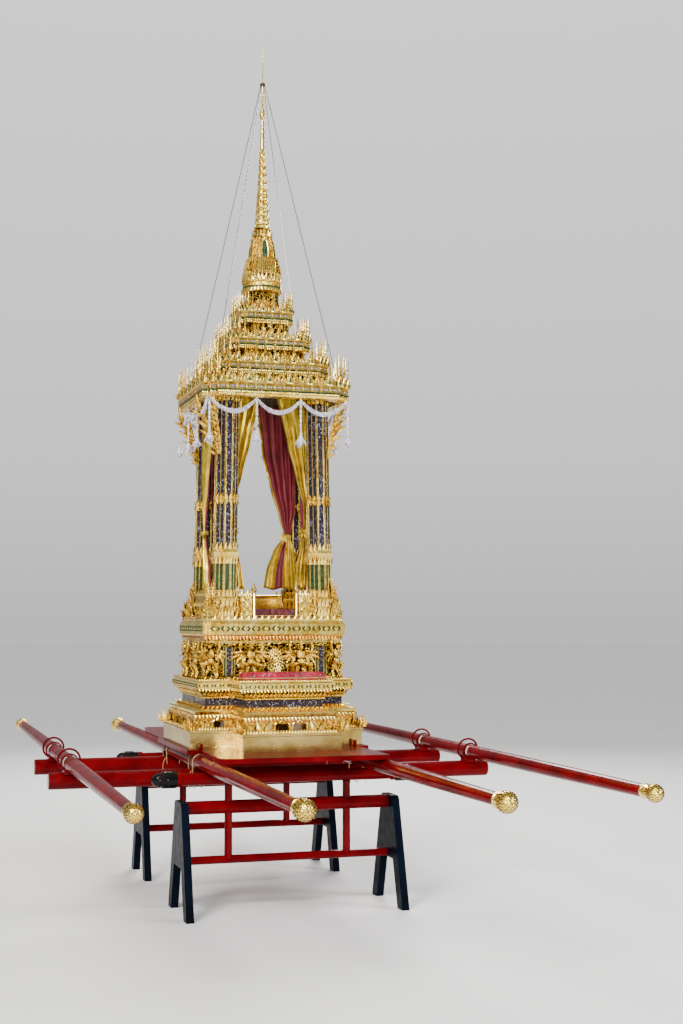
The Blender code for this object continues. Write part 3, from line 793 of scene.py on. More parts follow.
class Sculpt:
    """Gathers one named piece's geometry, and then turns it into an object."""

    def __init__(self, name: str, finish: bpy.types.Material, slot: Slot = Slot.GOLD, body: Body = Body.MAIN) -> None:
        """Starts the piece, with the slot its finish is from and the body it rides on."""
        self.name, self.finish, self.slot, self.body = name, finish, slot, body
        self.bm = bmesh.new()

    def stamp(self, pattern: bpy.types.Mesh, matrix: Matrix | None = None) -> "Sculpt":
        """Adds a copy of a mesh.

        Args:
            pattern: the mesh.
            matrix: where it goes.

        Returns:
            The piece.
        """
        if matrix is None:
            self.bm.from_mesh(pattern)
            return self
        copy = pattern.copy()
        copy.transform(matrix)
        self.bm.from_mesh(copy)
        bpy.data.meshes.remove(copy)
        return self

    def block(self, outline: Outline, levels: Sequence, lean: Sequence = (0, 0), at: Sequence = (0, 0)) -> "Sculpt":
        """Adds a plan raised through its levels.

        Args:
            outline: the plan.
            levels: (height, offset) pairs.
            lean: how far it moves in X and Y for each metre of height.
            at: where its middle stands.

        Returns:
            The piece.
        """
        low = levels[0][0]
        rings = []
        for z, offset in levels:
            rise = z - low
            spots = [(x + at[0] + lean[0] * rise, y + at[1] + lean[1] * rise, z) for x, y in outline(offset)]
            rings.append([self.bm.verts.new(spot) for spot in spots])
        for below, above in zip(rings, rings[1:]):
            for k in range(len(below)):
                after = (k + 1) % len(below)
                self.bm.faces.new((below[k], below[after], above[after], above[k]))
        self.bm.faces.new(rings[0][::-1])
        self.bm.faces.new(rings[-1])
        return self

    def box(self, low: Sequence, high: Sequence, matrix: Matrix | None = None, soft: float = 0) -> "Sculpt":
        """Adds a box between two corners.

        Args:
            low: its lowest corner.
            high: its highest corner.
            matrix: where it goes.
            soft: how far its edges are rounded.

        Returns:
            The piece.
        """
        low, high = Vector(low), Vector(high)
        place = (matrix or Matrix()) @ Matrix.Translation((low + high) / 2) @ sized(*(high - low))
        made = bmesh.ops.create_cube(self.bm, size=1, matrix=place)
        if soft:
            edges = list({edge for vert in made["verts"] for edge in vert.link_edges})
            bmesh.ops.bevel(
                self.bm, geom=edges, offset=soft, segments=2, profile=0.5, affect="EDGES", material=-1,
            )
        return self

    def done(self, *nodes: str, smooth: float = 45) -> bpy.types.Object:
        """Makes the object, smoothed, on its body.

        Args:
            nodes: the CAD nodes it stands for.
            smooth: the angle, in degrees, under which edges are smooth.

        Returns:
            The object.
        """
        bmesh.ops.recalc_face_normals(self.bm, faces=self.bm.faces)
        mesh = to_mesh(self.name, self.bm)
        mesh.materials.clear()
        mesh.materials.append(self.finish)
        mesh.shade_smooth()
        mesh.set_sharp_from_angle(angle=radians(smooth))
        made = bpy.data.objects.new(self.name, mesh)
        bpy.context.scene.collection.objects.link(made)
        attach(made, self.body.value)
        if nodes:
            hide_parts(*nodes)
        return made


@dataclass
class Patterns:
    """The small carved shapes that the rows repeat, each about one unit high."""

    leaf: bpy.types.Mesh = None
    petal: bpy.types.Mesh = None
    flame: bpy.types.Mesh = None
    pearl: bpy.types.Mesh = None
    needle: bpy.types.Mesh = None
    antefix: bpy.types.Mesh = None
    guardian: bpy.types.Mesh = None

    def build(self) -> "Patterns":
        """Makes the patterns.

        Returns:
            The patterns.
        """
        self.leaf = leaf("leaf", 5, 0.10)
        self.petal = leaf("petal", 6, 0.22, 0, 0.45)
        self.flame = leaf("flame", 5, 0.05, 0.34, 0.34)
        bm = bmesh.new()
        bmesh.ops.create_icosphere(bm, subdivisions=1, radius=1)
        self.pearl = to_mesh("pearl", bm)
        profile = [(0, 0), (0.055, 0.0), (0.060, 0.04), (0.025, 0.08), (0.050, 0.13), (0.020, 0.20), (0.026, 0.42)]
        self.needle = lathe("needle", profile + [(0.040, 0.47), (0.016, 0.52), (0.012, 0.80), (0, 1)], 6)
        self.antefix = self.triple()
        self.guardian = self.figure()
        return self

    def triple(self) -> bpy.types.Mesh:
        """A tall leaf with two small ones at its foot.

        Returns:
            The mesh.
        """
        made = bmesh.new()
        for pattern, at, size, turn in (
            (self.leaf, (0, 0, 0), (1.1, 1.2, 1.0), 0),
            (self.flame, (0.18, 0.03, 0), (0.75, 0.9, 0.62), 14),
            (self.flame, (-0.18, 0.03, 0), (-0.75, 0.9, 0.62), -14),
        ):
            self.add(made, pattern, moved(*at) @ rolled("Y", turn) @ sized(*size))
        return to_mesh("antefix", made)

    @staticmethod
    def add(bm: bmesh.types.BMesh, pattern: bpy.types.Mesh, matrix: Matrix) -> None:
        """Adds a copy of a mesh.

        Args:
            bm: what it is added to.
            pattern: the mesh.
            matrix: where it goes.
        """
        start = len(bm.verts)
        bm.from_mesh(pattern)
        bm.verts.ensure_lookup_table()
        bmesh.ops.transform(bm, matrix=matrix, verts=bm.verts[start:])

    def figure(self) -> bpy.types.Mesh:
        """A winged guardian that holds the cornice up: one unit high, facing +Y.

        Returns:
            The mesh.
        """
        made = bmesh.new()

        def add(pattern: bpy.types.Mesh, matrix: Matrix) -> None:
            """Adds a copy of a mesh."""
            self.add(made, pattern, matrix)

        for pattern, at, size in (
            (self.pearl, (0, 0.06, 0.60), (0.125, 0.085, 0.15)),
            (self.pearl, (0, 0.07, 0.42), (0.13, 0.10, 0.11)),
            (self.pearl, (0, 0.11, 0.795), (0.062, 0.062, 0.065)),
            (self.leaf, (0, 0.09, 0.83), (0.16, 0.30, 0.19)),
            (self.pearl, (0, 0.17, 0.785), (0.020, 0.035, 0.018)),
        ):
            add(pattern, moved(*at) @ sized(*size))
        for side in (-1, 1):
            for limb in (
                ((0.1, 0.06, 0.7, 0.04), (0.25, 0.1, 0.66, 0.036), (0.31, 0.09, 0.8, 0.03), (0.27, 0.07, 0.95, 0.026)),
                (
                    (0.08, 0.07, 0.38, 0.065), (0.25, 0.15, 0.32, 0.055),
                    (0.21, 0.08, 0.14, 0.036), (0.24, 0.12, 0.0, 0.045),
                ),
            ):
                route = [(side * x, y, z) for x, y, z, _ in limb]
                add(tube(route, [girth for *_, girth in limb], 1), Matrix())
            for k, (turn, size) in enumerate(((125, 0.42), (98, 0.46), (70, 0.40), (150, 0.36))):
                place = moved(side * 0.12, 0.01, 0.66 - 0.02 * k)
                turned = place @ rolled("Y", side * turn)
                add(self.flame, turned @ sized(side * 0.32, 0.5, size))
            place = moved(side * 0.06, 0.02, 0.34) @ rolled("Y", side * 162)
            add(self.petal, place @ sized(0.30, 0.4, 0.32))
        return to_mesh("guardian", made)


# ---------------------------------------------------------------- setting


@dataclass
class Setting:
    """Floor, soft lights and the camera."""

    eye: tuple = (-2.1816, -8.7932, 1.6239)
    yaw: float = 17.09
    pitch: float = 4.19
    lens: float = 51.5
    room: tuple = ((0.0, 0.28), (0.12, 0.34), (0.45, 0.50), (1.0, 0.42))
    backdrop: tuple = ((0.0, 0.70), (0.10, 0.92), (0.45, 1.25), (1.0, 1.25))
    far: tuple = (-0.1, 0.9, 1.0, 0.30)
    floor_radius: float = 90
    lamps: tuple = (
        ("key", (-5.0, -6.5, 6.5), 2.2, 900, (1.0, 0.96, 0.90)),
        ("fill", (6.0, -4.5, 3.5), 2.5, 450, (0.95, 0.97, 1.0)),
        ("rim", (2.5, 6.5, 6.0), 3.0, 850, (1.0, 0.97, 0.93)),
        ("low", (-1.5, -8.5, 1.6), 1.4, 260, (1.0, 0.95, 0.88)),
    )

    def camera(self) -> None:
        """Places the camera."""
        data = bpy.data.cameras.new("camera")
        data.lens = self.lens
        data.sensor_width = 36
        data.clip_end = 200
        made = bpy.data.objects.new("camera", data)
        made.location = self.eye
        made.rotation_euler = (radians(90 + self.pitch), 0, radians(-self.yaw))
        bpy.context.scene.collection.objects.link(made)
        bpy.context.scene.camera = made

    def build(self) -> None:
        """Makes the floor, the room and the lights."""
        self.floor()
        self.surround()
        self.sun()
        for lamp in self.lamps:
            self.lamp(*lamp)

    def floor(self) -> None:
        """Makes the plain pale floor."""
        g = Graph("pale_floor")
        tone = g.ramp(g.noise(0.8, 4), ((0.3, (0.80, 0.80, 0.80)), (0.7, (0.84, 0.84, 0.84))))
        pale = g.finish(Base_Color=tone, Roughness=0.7, Normal=g.bump(g.noise(90, 3), 0.0005, 0.2))
        bm = bmesh.new()
        bmesh.ops.create_circle(bm, cap_ends=True, segments=96, radius=self.floor_radius)
        mesh = to_mesh("floor", bm)
        mesh.materials.append(pale)
        floor = bpy.data.objects.new("floor", mesh)
        bpy.context.scene.collection.objects.link(floor)

    def surround(self) -> None:
        """Makes the room that lights and reflects, and the paler backdrop that the camera sees."""
        world = bpy.data.worlds.new("studio")
        world.use_nodes = True
        nodes, links = world.node_tree.nodes, world.node_tree.links
        way = nodes.new("ShaderNodeSeparateXYZ")
        links.new(nodes.new("ShaderNodeTexCoord").outputs["Generated"], way.inputs[0])
        seen = nodes.new("ShaderNodeMix")
        seen.data_type = "RGBA"
        links.new(nodes.new("ShaderNodeLightPath").outputs["Is Camera Ray"], seen.inputs[0])
        for socket, greys in ((seen.inputs[6], self.room), (seen.inputs[7], self.backdrop)):
            band = nodes.new("ShaderNodeValToRGB")
            links.new(way.outputs["Z"], band.inputs["Fac"])
            while len(band.color_ramp.elements) < len(greys):
                band.color_ramp.elements.new(0.5)
            for element, (at, grey) in zip(band.color_ramp.elements, greys):
                element.position, element.color = at, (grey, grey, grey, 1)
            if socket is seen.inputs[6]:
                fade = nodes.new("ShaderNodeMapRange")
                for index, value in enumerate(self.far, 1):
                    fade.inputs[index].default_value = value
                links.new(way.outputs["Y"], fade.inputs[0])
                dimmed = nodes.new("ShaderNodeVectorMath")
                dimmed.operation = "MULTIPLY"
                links.new(band.outputs["Color"], dimmed.inputs[0])
                links.new(fade.outputs[0], dimmed.inputs[1])
                links.new(dimmed.outputs[0], socket)
            else:
                links.new(band.outputs["Color"], socket)
        links.new(seen.outputs[2], nodes["Background"].inputs["Color"])
        bpy.context.scene.world = world

    def sun(self) -> None:
        """Adds a broad, soft light from high on the left, which reaches all of the floor."""
        data = bpy.data.lights.new("sun", "SUN")
        data.energy, data.angle, data.color = 1.5, radians(32), (1.0, 0.98, 0.95)
        made = bpy.data.objects.new("sun", data)
        made.rotation_euler = Vector((0.42, 0.50, -1.0)).to_track_quat("-Z", "Y").to_euler()
        bpy.context.scene.collection.objects.link(made)

    def lamp(self, name: str, at: Sequence[float], size: float, power: float, tint: Sequence[float]) -> None:
        """Adds a soft area light that faces the pavilion.

        Args:
            name: its name.
            at: where it stands.
            size: its side, in metres.
            power: its power, in watts.
            tint: its colour.
        """
        data = bpy.data.lights.new(name, "AREA")
        data.energy, data.size, data.color = power, size, tint
        made = bpy.data.objects.new(name, data)
        made.location = at
        made.rotation_euler = (Vector((0, 0, 2.0)) - Vector(at)).to_track_quat("-Z", "Y").to_euler()
        bpy.context.scene.collection.objects.link(made)


@dataclass
class Coats:
    """The finishes of the CAD nodes that stay."""

    finishes: Finishes
    nodes: dict

    def build(self) -> None:
        """Gives every CAD node its finish."""
        rules = (
            ("trestle_frame", "black_coat"), ("trestle_ladder", "red_coat"), ("cross_tube", "red_coat"),
            ("short_beam", "red_coat"), ("pole_ring", "red_coat"), ("inner_pole", "red_coat"),
            ("outer_pole", "red_coat"), ("deck_board", "red_coat"), ("plinth", "gilded_sheet"),
            # pierced_gold on the guardian frieze paints its openings near black, as painted shade.
            ("gate_post", "gilded_sheet"), ("backrest", "gilded_sheet"), ("guardian_frieze", "pierced_gold"),
            ("gallery", "moulded_gold"), ("rail_panel", "carved_gold"), ("spire_stays", "wire"),
            ("column", "moulded_gold"), ("base_cornice", "moulded_gold"), ("throne_platform", "moulded_gold"),
            ("roof_eave", "moulded_gold"), ("roof_tier", "moulded_gold"),
        )
        for name, node in self.nodes.items():
            finish = next((coat for start, coat in rules if name.startswith(start)), "carved_gold")
            node.data.materials.clear()
            node.data.materials.append(self.finishes[finish])


@dataclass
class Kit:
    """What every sub-assembly works with."""

    finishes: Finishes
    patterns: Patterns

    def sculpt(self, name: str, finish: str, slot: Slot = Slot.GOLD, body: Body = Body.MAIN) -> Sculpt:
        """Starts a piece, by the names of it and of its finish."""
        return Sculpt(name, self.finishes[finish], slot, body)

    def rows(self, plan: Outline, rows: Sequence["Row"], z: float = 0.0, prefix: str = "") -> None:
        """Carved rows along one plan, each a piece of its own.

        Args:
            plan: the plan to follow.
            rows: the rows.
            z: the height that theirs are counted from.
            prefix: what their names start with.
        """
        for row in rows:
            piece = self.sculpt(prefix + row.name, row.finish)
            pattern = getattr(self.patterns, row.pattern)
            width, depth, height = row.size
            for site in sites(plan(row.offset), row.pitch):
                matrix = site.matrix(z + row.z, (width * site.stretch, depth, height), row.out, row.tip)
                piece.stamp(pattern, matrix)
            piece.done()


@dataclass(frozen=True)
class Row:
    """One pattern repeated along a plan: its offset, height, spacing, size, and how it stands out and leans."""

    name: str
    finish: str
    pattern: str
    offset: float
    z: float
    pitch: float
    size: tuple
    out: float = 0.0
    tip: float = 0.0


# ---------------------------------------------------------------- carrying frame


@dataclass
class CarryingFrame:
    """Finials, hoops, carved caps, lashings, pegs and blank tapes on the poles and beams."""

    kit: Kit
    scales: int = 19
    hoop_lean: float = 10.0
    tape_gap: float = 0.078
    tape_width: float = 0.022
    tape_radius: float = 0.0408
    peg: float = 0.011

    def build(self) -> None:
        """Makes the pieces."""
        for end, y in (("front", -1), ("back", 1)):
            for side, x in (("left", -1), ("right", 1)):
                outer = Body.OUTER_LEFT if x < 0 else Body.OUTER_RIGHT
                self.finial(f"finial_inner_{end}_{side}", y, Body.MAIN)
                self.finial(f"finial_outer_{end}_{side}", y, outer)
                self.ring(end, side)
                self.cap(end, side, x)
                self.lashing(end, side)
                self.tape(end, side, outer)
        self.pegs()

    def finial(self, node: str, way: int, body: Body) -> None:
        """A gilded ball with rings of scales and a collar.

        Args:
            node: the CAD node it stands for.
            way: 1 if it points to +Y.
            body: the body it rides on.
        """
        low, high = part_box(node)
        radius = (high.x - low.x) / 2
        length = high.y - low.y
        heart = length - radius
        collar = ((0, 0), (0.76, 0), (0.80, 0.006), (0.80, 0.014), (0.72, 0.018), (0.78, 0.026), (0.76, 0.034))
        profile = [(radius * share, along) for share, along in collar]
        for k in range(1, 12):
            a = radians(-52 + 142 * k / 12)
            profile.append((radius * 0.87 * cos(a), max(collar[-1][1], heart + radius * 0.87 * sin(a))))
        profile.append((0, heart + radius * 0.90))
        piece = self.kit.sculpt(node + "_carved", "bright_gold", body=body)
        axis = moved((low.x + high.x) / 2, low.y if way > 0 else high.y, (low.z + high.z) / 2)
        axis = axis @ rolled("X", -90 * way)
        pearl, petal = self.kit.patterns.pearl, self.kit.patterns.petal
        piece.stamp(lathe("ball", profile, 28), axis)
        for row, angle in enumerate((-38, -22, -6, 10, 26, 42, 57, 72)):
            count = max(6, round(self.scales * cos(radians(angle))))
            for k in range(count):
                spin = tau * (k + 0.5 * (row % 2)) / count
                turn = spun("Z", spin) @ moved(0, 0, heart) @ rolled("Y", -angle)
                place = turn @ moved(radius * 0.90, 0, -radius * 0.10) @ rolled("Z", 90)
                piece.stamp(petal, axis @ place @ sized(radius * 0.58, -radius * 0.40, radius * 0.33))
        piece.stamp(pearl, axis @ moved(0, 0, length - radius * 0.1) @ Matrix.Scale(radius * 0.1, 4))
        piece.done(node)

    def ring(self, end: str, side: str) -> None:
        """A close band and a loose hoop round the pole, in red lacquer.

        Args:
            end: front or back.
            side: left or right.
        """
        node = f"pole_ring_{end}_{side}"
        x, y, z = middle(node).x, middle("cross_tube_" + end).y, middle("outer_pole_" + side).z
        piece = self.kit.sculpt(node + "_hoop", "red_coat", Slot.RED)
        loose, close = (0.062, 0.0062, 0.012, 0.012, self.hoop_lean), (0.0475, 0.0050, -0.034, 0, 0)
        for radius, rod, out, rise, lean in (loose, close):
            route = [(radius * cos(tau * k / 40), 0, radius * sin(tau * k / 40)) for k in range(40)]
            piece.stamp(tube(route, rod, 3, True), moved(x, y + out, z + rise) @ rolled("X", lean))
        piece.done()

    def cap(self, end: str, side: str, x: int) -> None:
        """A carved black cap over a short beam's end.

        Args:
            end: front or back.
            side: left or right.
            x: -1 on the left.
        """
        beam = middle("short_beam_" + end)
        radius = 0.046
        tip = abs(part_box("short_beam_" + end)[1].x)
        nose = ((0, 0.012), (0.020, 0.006), (0.036, -0.014), (0.040, -0.034))
        sleeve = ((0.034, -0.040), (0.045, -0.052), (0.046, -0.120), (0.036, -0.134), (0.033, -0.160))
        profile = [point for curve in (nose, sleeve) for point in spline([(r, tip + along) for r, along in curve], 2)]
        profile.append(Vector((0, tip - 0.160)))
        piece = self.kit.sculpt(f"beam_cap_{end}_{side}", "carved_black", Slot.BLACK)
        axis = moved(0, beam.y, beam.z) @ rolled("Y", 90 * x)
        piece.stamp(lathe("cap", profile, 28), axis)
        for row, along in enumerate((0.126, 0.100, 0.074)):
            for k in range(12):
                turn = spun("Z", tau * (k + 0.5 * (row % 2)) / 12)
                place = turn @ moved(radius * 0.96, 0, tip - along) @ rolled("Z", 90)
                piece.stamp(self.kit.patterns.petal, axis @ place @ sized(0.042, -0.016, 0.034))
        piece.done()

    def lashing(self, end: str, side: str) -> None:
        """A thin gold cord that ties an inner pole down to a long cross tube.

        Args:
            end: front or back.
            side: left or right.
        """
        pole_low, pole_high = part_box("inner_pole_" + side)
        beam_low, beam_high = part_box("cross_tube_" + end)
        x, z = middle("inner_pole_" + side).x, middle("inner_pole_" + side).z
        cy = middle("cross_tube_" + end).y
        r = (pole_high.z - pole_low.z) / 2
        piece = self.kit.sculpt(f"lashing_{end}_{side}", "cord", Slot.SATIN)
        for shift in (0.0, 0.009):
            reach = 0.055 + shift
            over = [(x + (r + 0.004) * cos(a), sin(a) * (r + 0.004)) for a in (radians(v) for v in range(-10, 191, 20))]
            route = [(px, cy - reach, z + pz) for px, pz in over]
            route += [(x - r - 0.003, cy - reach + 0.002, z - r), (x - 0.030, cy - 0.022, beam_low.z - 0.003)]
            route += [(x - 0.012 - shift, cy + 0.020, beam_low.z - 0.003), (x - r - 0.003, cy + reach - 0.002, z - r)]
            route += [(px, cy + reach, z + pz) for px, pz in over[::-1]]
            route += [(x + r + 0.003, cy + reach - 0.002, z - r), (x + 0.012 + shift, cy + 0.020, beam_low.z - 0.003)]
            route += [(x + 0.030, cy - 0.022, beam_low.z - 0.003), (x + r + 0.003, cy - reach + 0.002, z - r)]
            piece.stamp(tube(spline(route, 2, True), 0.0018, 1, True))
        out = x + (0.05 if x > 0 else -0.05)
        tail = [(out, cy - 0.050, beam_high.z - 0.01), (out * 1.03, cy - 0.053, beam_high.z - 0.05)]
        tail.append((out * 1.02, cy - 0.052, beam_low.z - 0.02))
        piece.stamp(tube(spline(tail, 4), 0.0017, 1))
        piece.done()

    def tape(self, end: str, side: str, body: Body) -> None:
        """A blank paper tape round an outer pole beside its ring.

        Args:
            end: front or back.
            side: left or right.
            body: the body it rides on.
        """
        pole = middle("outer_pole_" + side)
        near = middle("cross_tube_" + end).y - self.tape_gap
        piece = self.kit.sculpt(f"pole_tape_{end}_{side}", "tape", Slot.FLOWERS, body)
        angles = [radians(200) + radians(-40 + 10 * k) for k in range(9)]
        arc = [(pole.x + self.tape_radius * cos(a), pole.z + self.tape_radius * -sin(a)) for a in angles]
        for a, b in zip(arc, arc[1:]):
            corners = ((0, a), (self.tape_width, a), (self.tape_width, b), (0, b))
            piece.bm.faces.new([piece.bm.verts.new((x, near + along, z)) for along, (x, z) in corners])
        bmesh.ops.remove_doubles(piece.bm, verts=piece.bm.verts, dist=1e-5)
        bmesh.ops.solidify(piece.bm, geom=piece.bm.faces[:], thickness=0.0004)
        piece.done()

    def pegs(self) -> None:
        """Small lacquered pegs on the deck beside the plinth."""
        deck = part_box("deck_board")[1].z
        piece = self.kit.sculpt("deck_pegs", "red_coat", Slot.RED)
        for x in (-0.463, 0.463):
            for y in (-0.455, 0.455):
                low, high = (x - self.peg, y - self.peg, deck), (x + self.peg, y + self.peg, deck + 0.034)
                piece.box(low, high, soft=0.003)
        piece.done()


# ---------------------------------------------------------------- base


@dataclass
class Base:
    """Carving and mosaic on the plinth, gallery, cornices, frieze and platform."""

    kit: Kit
    plinth: Outline = porched(0.5205, 0.415, 0.288, 0.770)
    hall: Outline = porched(0.480, 0.395, 0.262, 0.722)
    neck: Outline = porched(0.415, 0.345, 0.225, 0.590)
    room: tuple = (0.405, 0.362)
    curls: tuple = (
        (0.075, 0.3), (0.105, 0.55), (0.060, 0.75), (0.120, 0.08),
        (0.085, 0.10), (0.20, 0.10), (0.225, 0.5), (0.215, 0.75),
    )
    front_windows: tuple = (
        (-0.052, -0.722, 0.042), (0.052, -0.722, 0.042), (-0.345, -0.395, 0.036), (0.345, -0.395, 0.036),
    )
    foot_curls: tuple = ((0.006, (0.075, 0.075, 0.080), 0.004, 0.40), (0.004, (0.060, 0.060, 0.055), 0.008, 0.95))

    def build(self) -> None:
        """Makes the pieces."""
        self.plinth_edge()
        self.gallery()
        self.cornice()
        self.frieze()
        self.platform()

    def plinth_edge(self) -> None:
        """The row of small upright leaves along the plinth's top."""
        row = Row("plinth_leaves", "bright_gold", "leaf", -0.004, -0.002, 0.017, (0.034, 0.03, 0.026))
        self.kit.rows(self.plinth, [row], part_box("plinth")[1].z)

    def gallery(self) -> None:
        """Arched frames, corner brackets, feet and the band above them."""
        low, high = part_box("gallery")
        plan = self.hall
        kit, leafy = self.kit, self.kit.patterns
        kit.rows(plan, [Row("gallery_hem", "bright_gold", "leaf", 0.010, -0.026, 0.021, (0.040, 0.03, -0.022))], high.z)
        bands = kit.sculpt("gallery_band", "amber_gold")
        levels = ((-0.070, -0.012), (-0.066, -0.004), (-0.030, -0.002), (-0.026, -0.010))
        bands.block(plan, [(high.z + z, offset) for z, offset in levels])
        bands.done()
        feet = kit.sculpt("gallery_feet", "carved_gold")
        for site in corner_sites(plan(0.002)):
            feet.stamp(leafy.petal, site.matrix(low.z + 0.006, (0.085, 0.10, 0.088), -0.004))
            feet.stamp(leafy.pearl, site.matrix(low.z + 0.018, (0.020, 0.016, 0.014), 0.012))
            for flip in (-1, 1):
                swing = Site(site.at, site.angle + flip * radians(45))
                for z, size, out, along in self.foot_curls:
                    feet.stamp(leafy.flame, swing.matrix(low.z + z, size, out, 0, flip) @ moved(along, 0, 0))
        feet.done()
        scrolls = kit.sculpt("gallery_scrolls", "carved_gold")
        for k, site in enumerate(sites(plan(-0.008), 0.026)):
            if self.at_window(abs(site.at.x), abs(site.at.y)):
                continue
            for upper, (level, tall, lean) in enumerate(((0.012, 0.050, 4), (0.040, 0.036, 8))):
                flip = 1 if (k + upper) % 2 else -1
                scrolls.stamp(leafy.flame, site.matrix(low.z + level, (0.052, 0.050, tall), 0, lean, flip))
        scrolls.done()
        arches = kit.sculpt("gallery_arches", "bright_gold")
        for way in (-1, 1):
            turn = spun("Z", 0 if way < 0 else pi)
            for centre, y, half in self.front_windows:
                arches.stamp(self.arch(half, 0.046), turn @ moved(centre, y - 0.004, low.z + 0.012))
            for x in (-0.158, 0.158):
                for flip in (-1, 1):
                    place = turn @ moved(x + flip * 0.022, -0.722 - 0.006, low.z + 0.008)
                    arches.stamp(leafy.flame, place @ sized(flip * 0.075, -0.07, 0.070))
            for site_y in (-0.195, 0.195, 0.0, -0.385, 0.385):
                for side in (-1, 1):
                    place = moved(side * 0.482, site_y, low.z + 0.006) @ rolled("Z", 90)
                    arches.stamp(leafy.petal, place @ sized(0.085, side * -0.06, 0.078))
        arches.done()

    @staticmethod
    def at_window(x: float, y: float) -> bool:
        """Whether a place on the gallery's wall is at a window.

        Args:
            x: its distance from the middle, sideways.
            y: its distance from the middle, lengthwise.

        Returns:
            True at a window.
        """
        if y > 0.6:
            return x < 0.108
        if y > 0.37:
            return abs(x - 0.345) < 0.048
        return min(abs(y - 0.10), abs(y - 0.29)) < 0.042

    @staticmethod
    def arch(half: float, height: float) -> bpy.types.Mesh:
        """A cusped frame round a window, in the XZ plane.

        Args:
            half: half the window's width.
            height: the window's height.

        Returns:
            The mesh.
        """
        cusps = ((1, 0), (1, 0.72), (0.78, 1.02), (0.38, 1.06))
        points = [(-half * x, 0, height * z) for x, z in cusps]
        points += [(0, 0, height * 1.30)] + [(-x, y, z) for x, y, z in points[::-1]]
        return tube(spline(points, 4), 0.0052, 1)

    def cornice(self) -> None:
        """Blue mosaic neck, leaf rows and the chevron band of the lower cornice."""
        low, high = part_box("base_cornice")
        mosaic = self.kit.sculpt("cornice_mosaic", "blue_glass", Slot.GLASS)
        mosaic.block(self.neck, [(low.z + 0.020, 0.0015), (low.z + 0.062, 0.0015)]).done()
        self.kit.rows(self.neck, (
            Row("foot", "bright_gold", "petal", 0.026, 0.004, 0.027, (0.050, 0.05, 0.024), tip=22),
            Row("beads", "bright_gold", "pearl", 0.011, 0.068, 0.013, (0.0055, 0.0055, 0.0055)),
            Row("petals", "carved_gold", "petal", 0.018, 0.079, 0.024, (0.045, 0.045, 0.034), tip=30),
            Row("hem", "bright_gold", "leaf", 0.050, 0.124, 0.020, (0.036, 0.03, -0.020)),
        ), low.z, "cornice_")
        crest = Row("cornice_crest", "bright_gold", "leaf", 0.049, -0.003, 0.015, (0.028, 0.02, 0.011))
        self.kit.rows(self.neck, [crest], high.z)
        self.chevrons("cornice_chevrons", self.neck(0.0555), low.z + 0.139, 0.020, 0.052)

    def chevrons(self, name: str, outline: Sequence, z: float, height: float, pitch: float) -> None:
        """A band of green glass chevrons that face each other across gold lozenges.

        Args:
            name: the pieces' name.
            outline: the outline to follow.
            z: the band's middle.
            height: the chevrons' height.
            pitch: their spacing.
        """
        glass = self.kit.sculpt(name, "green_glass", Slot.GLASS)
        studs = self.kit.sculpt(name + "_studs", "bright_gold")
        for site in sites(outline, pitch):
            for flip in (-1, 1):
                for up in (-1, 1):
                    place = site.frame(z + up * height * 0.21) @ moved(flip * pitch * 0.28, 0, 0)
                    turned = place @ rolled("Y", -flip * up * 42)
                    glass.box((-height * 0.14, -0.002, -height * 0.33), (height * 0.14, 0.0024, height * 0.33), turned)
            half = height * 0.21
            studs.box((-half, -0.002, -half), (half, 0.0035, half), site.frame(z) @ rolled("Y", 45), 0.001)
            edge = site.frame(z) @ moved(pitch * 0.5 * site.stretch, 0, 0)
            studs.stamp(self.kit.patterns.pearl, edge @ sized(0.0035, 0.003, height * 0.30))
        glass.done(smooth=20)
        studs.done()

    def frieze(self) -> None:
        """Winged guardians, mosaic strips, a lotus medallion and scrollwork."""
        low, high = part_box("guardian_frieze")
        kit, leafy = self.kit, self.kit.patterns
        plan = redented(self.room[0], self.room[1], 0.026)
        tall = high.z - low.z
        figures = kit.sculpt("guardians", "carved_gold")
        blue = kit.sculpt("frieze_blue", "blue_glass", Slot.GLASS)
        green = kit.sculpt("frieze_green", "green_glass", Slot.GLASS)
        scroll = kit.sculpt("frieze_scroll", "bright_gold")
        for face, turn in enumerate(quarter_turns()):
            reach, half = self.room if face % 2 == 0 else self.room[::-1]
            front = turn @ moved(0, -half, 0) @ spun("Z", pi)
            for x in (-0.152, 0.152):
                place = front @ moved(x, 0.006, low.z + 0.010)
                figures.stamp(leafy.guardian, place @ sized(tall * 1.08, tall * 1.25, tall * 1.04))
            for x in (-1, 1):
                strip = front @ moved(x * (reach - 0.125), 0, 0)
                blue.box((-0.016, -0.01, low.z + 0.026), (0.016, 0.006, high.z - 0.026), strip)
                for near, far in ((-0.031, -0.020), (0.020, 0.031)):
                    green.box((near, -0.01, low.z + 0.026), (far, 0.004, high.z - 0.026), strip)
                for edge in (-0.0335, -0.018, 0.018, 0.0335):
                    scroll.box((edge - 0.002, -0.01, low.z + 0.024), (edge + 0.002, 0.008, high.z - 0.024), strip)
            self.medallion(scroll, front @ moved(0, 0.004, (low.z + high.z) / 2))
            for k, (x, up) in enumerate(self.curls):
                for flip in (-1, 1):
                    place = front @ moved(flip * x, 0.0, low.z + 0.02 + (tall - 0.07) * up)
                    turned = place @ rolled("Y", flip * (25 + 37 * k))
                    scroll.stamp(leafy.flame, turned @ sized(flip * 0.075, 0.075, 0.060))
        for site in corner_sites(plan(0)):
            if abs(abs(site.at.x) - 0.379) < 0.02:
                matrix = site.matrix(low.z + 0.016, (tall * 0.95, tall * 1.1, tall * 1.04), -0.014)
                figures.stamp(leafy.guardian, matrix)
        for piece in (figures, blue, green, scroll):
            piece.done()
        foot = Row("frieze_foot", "bright_gold", "petal", 0.016, 0.001, 0.026, (0.046, 0.04, 0.022), tip=15)
        kit.rows(plan, [foot], low.z)

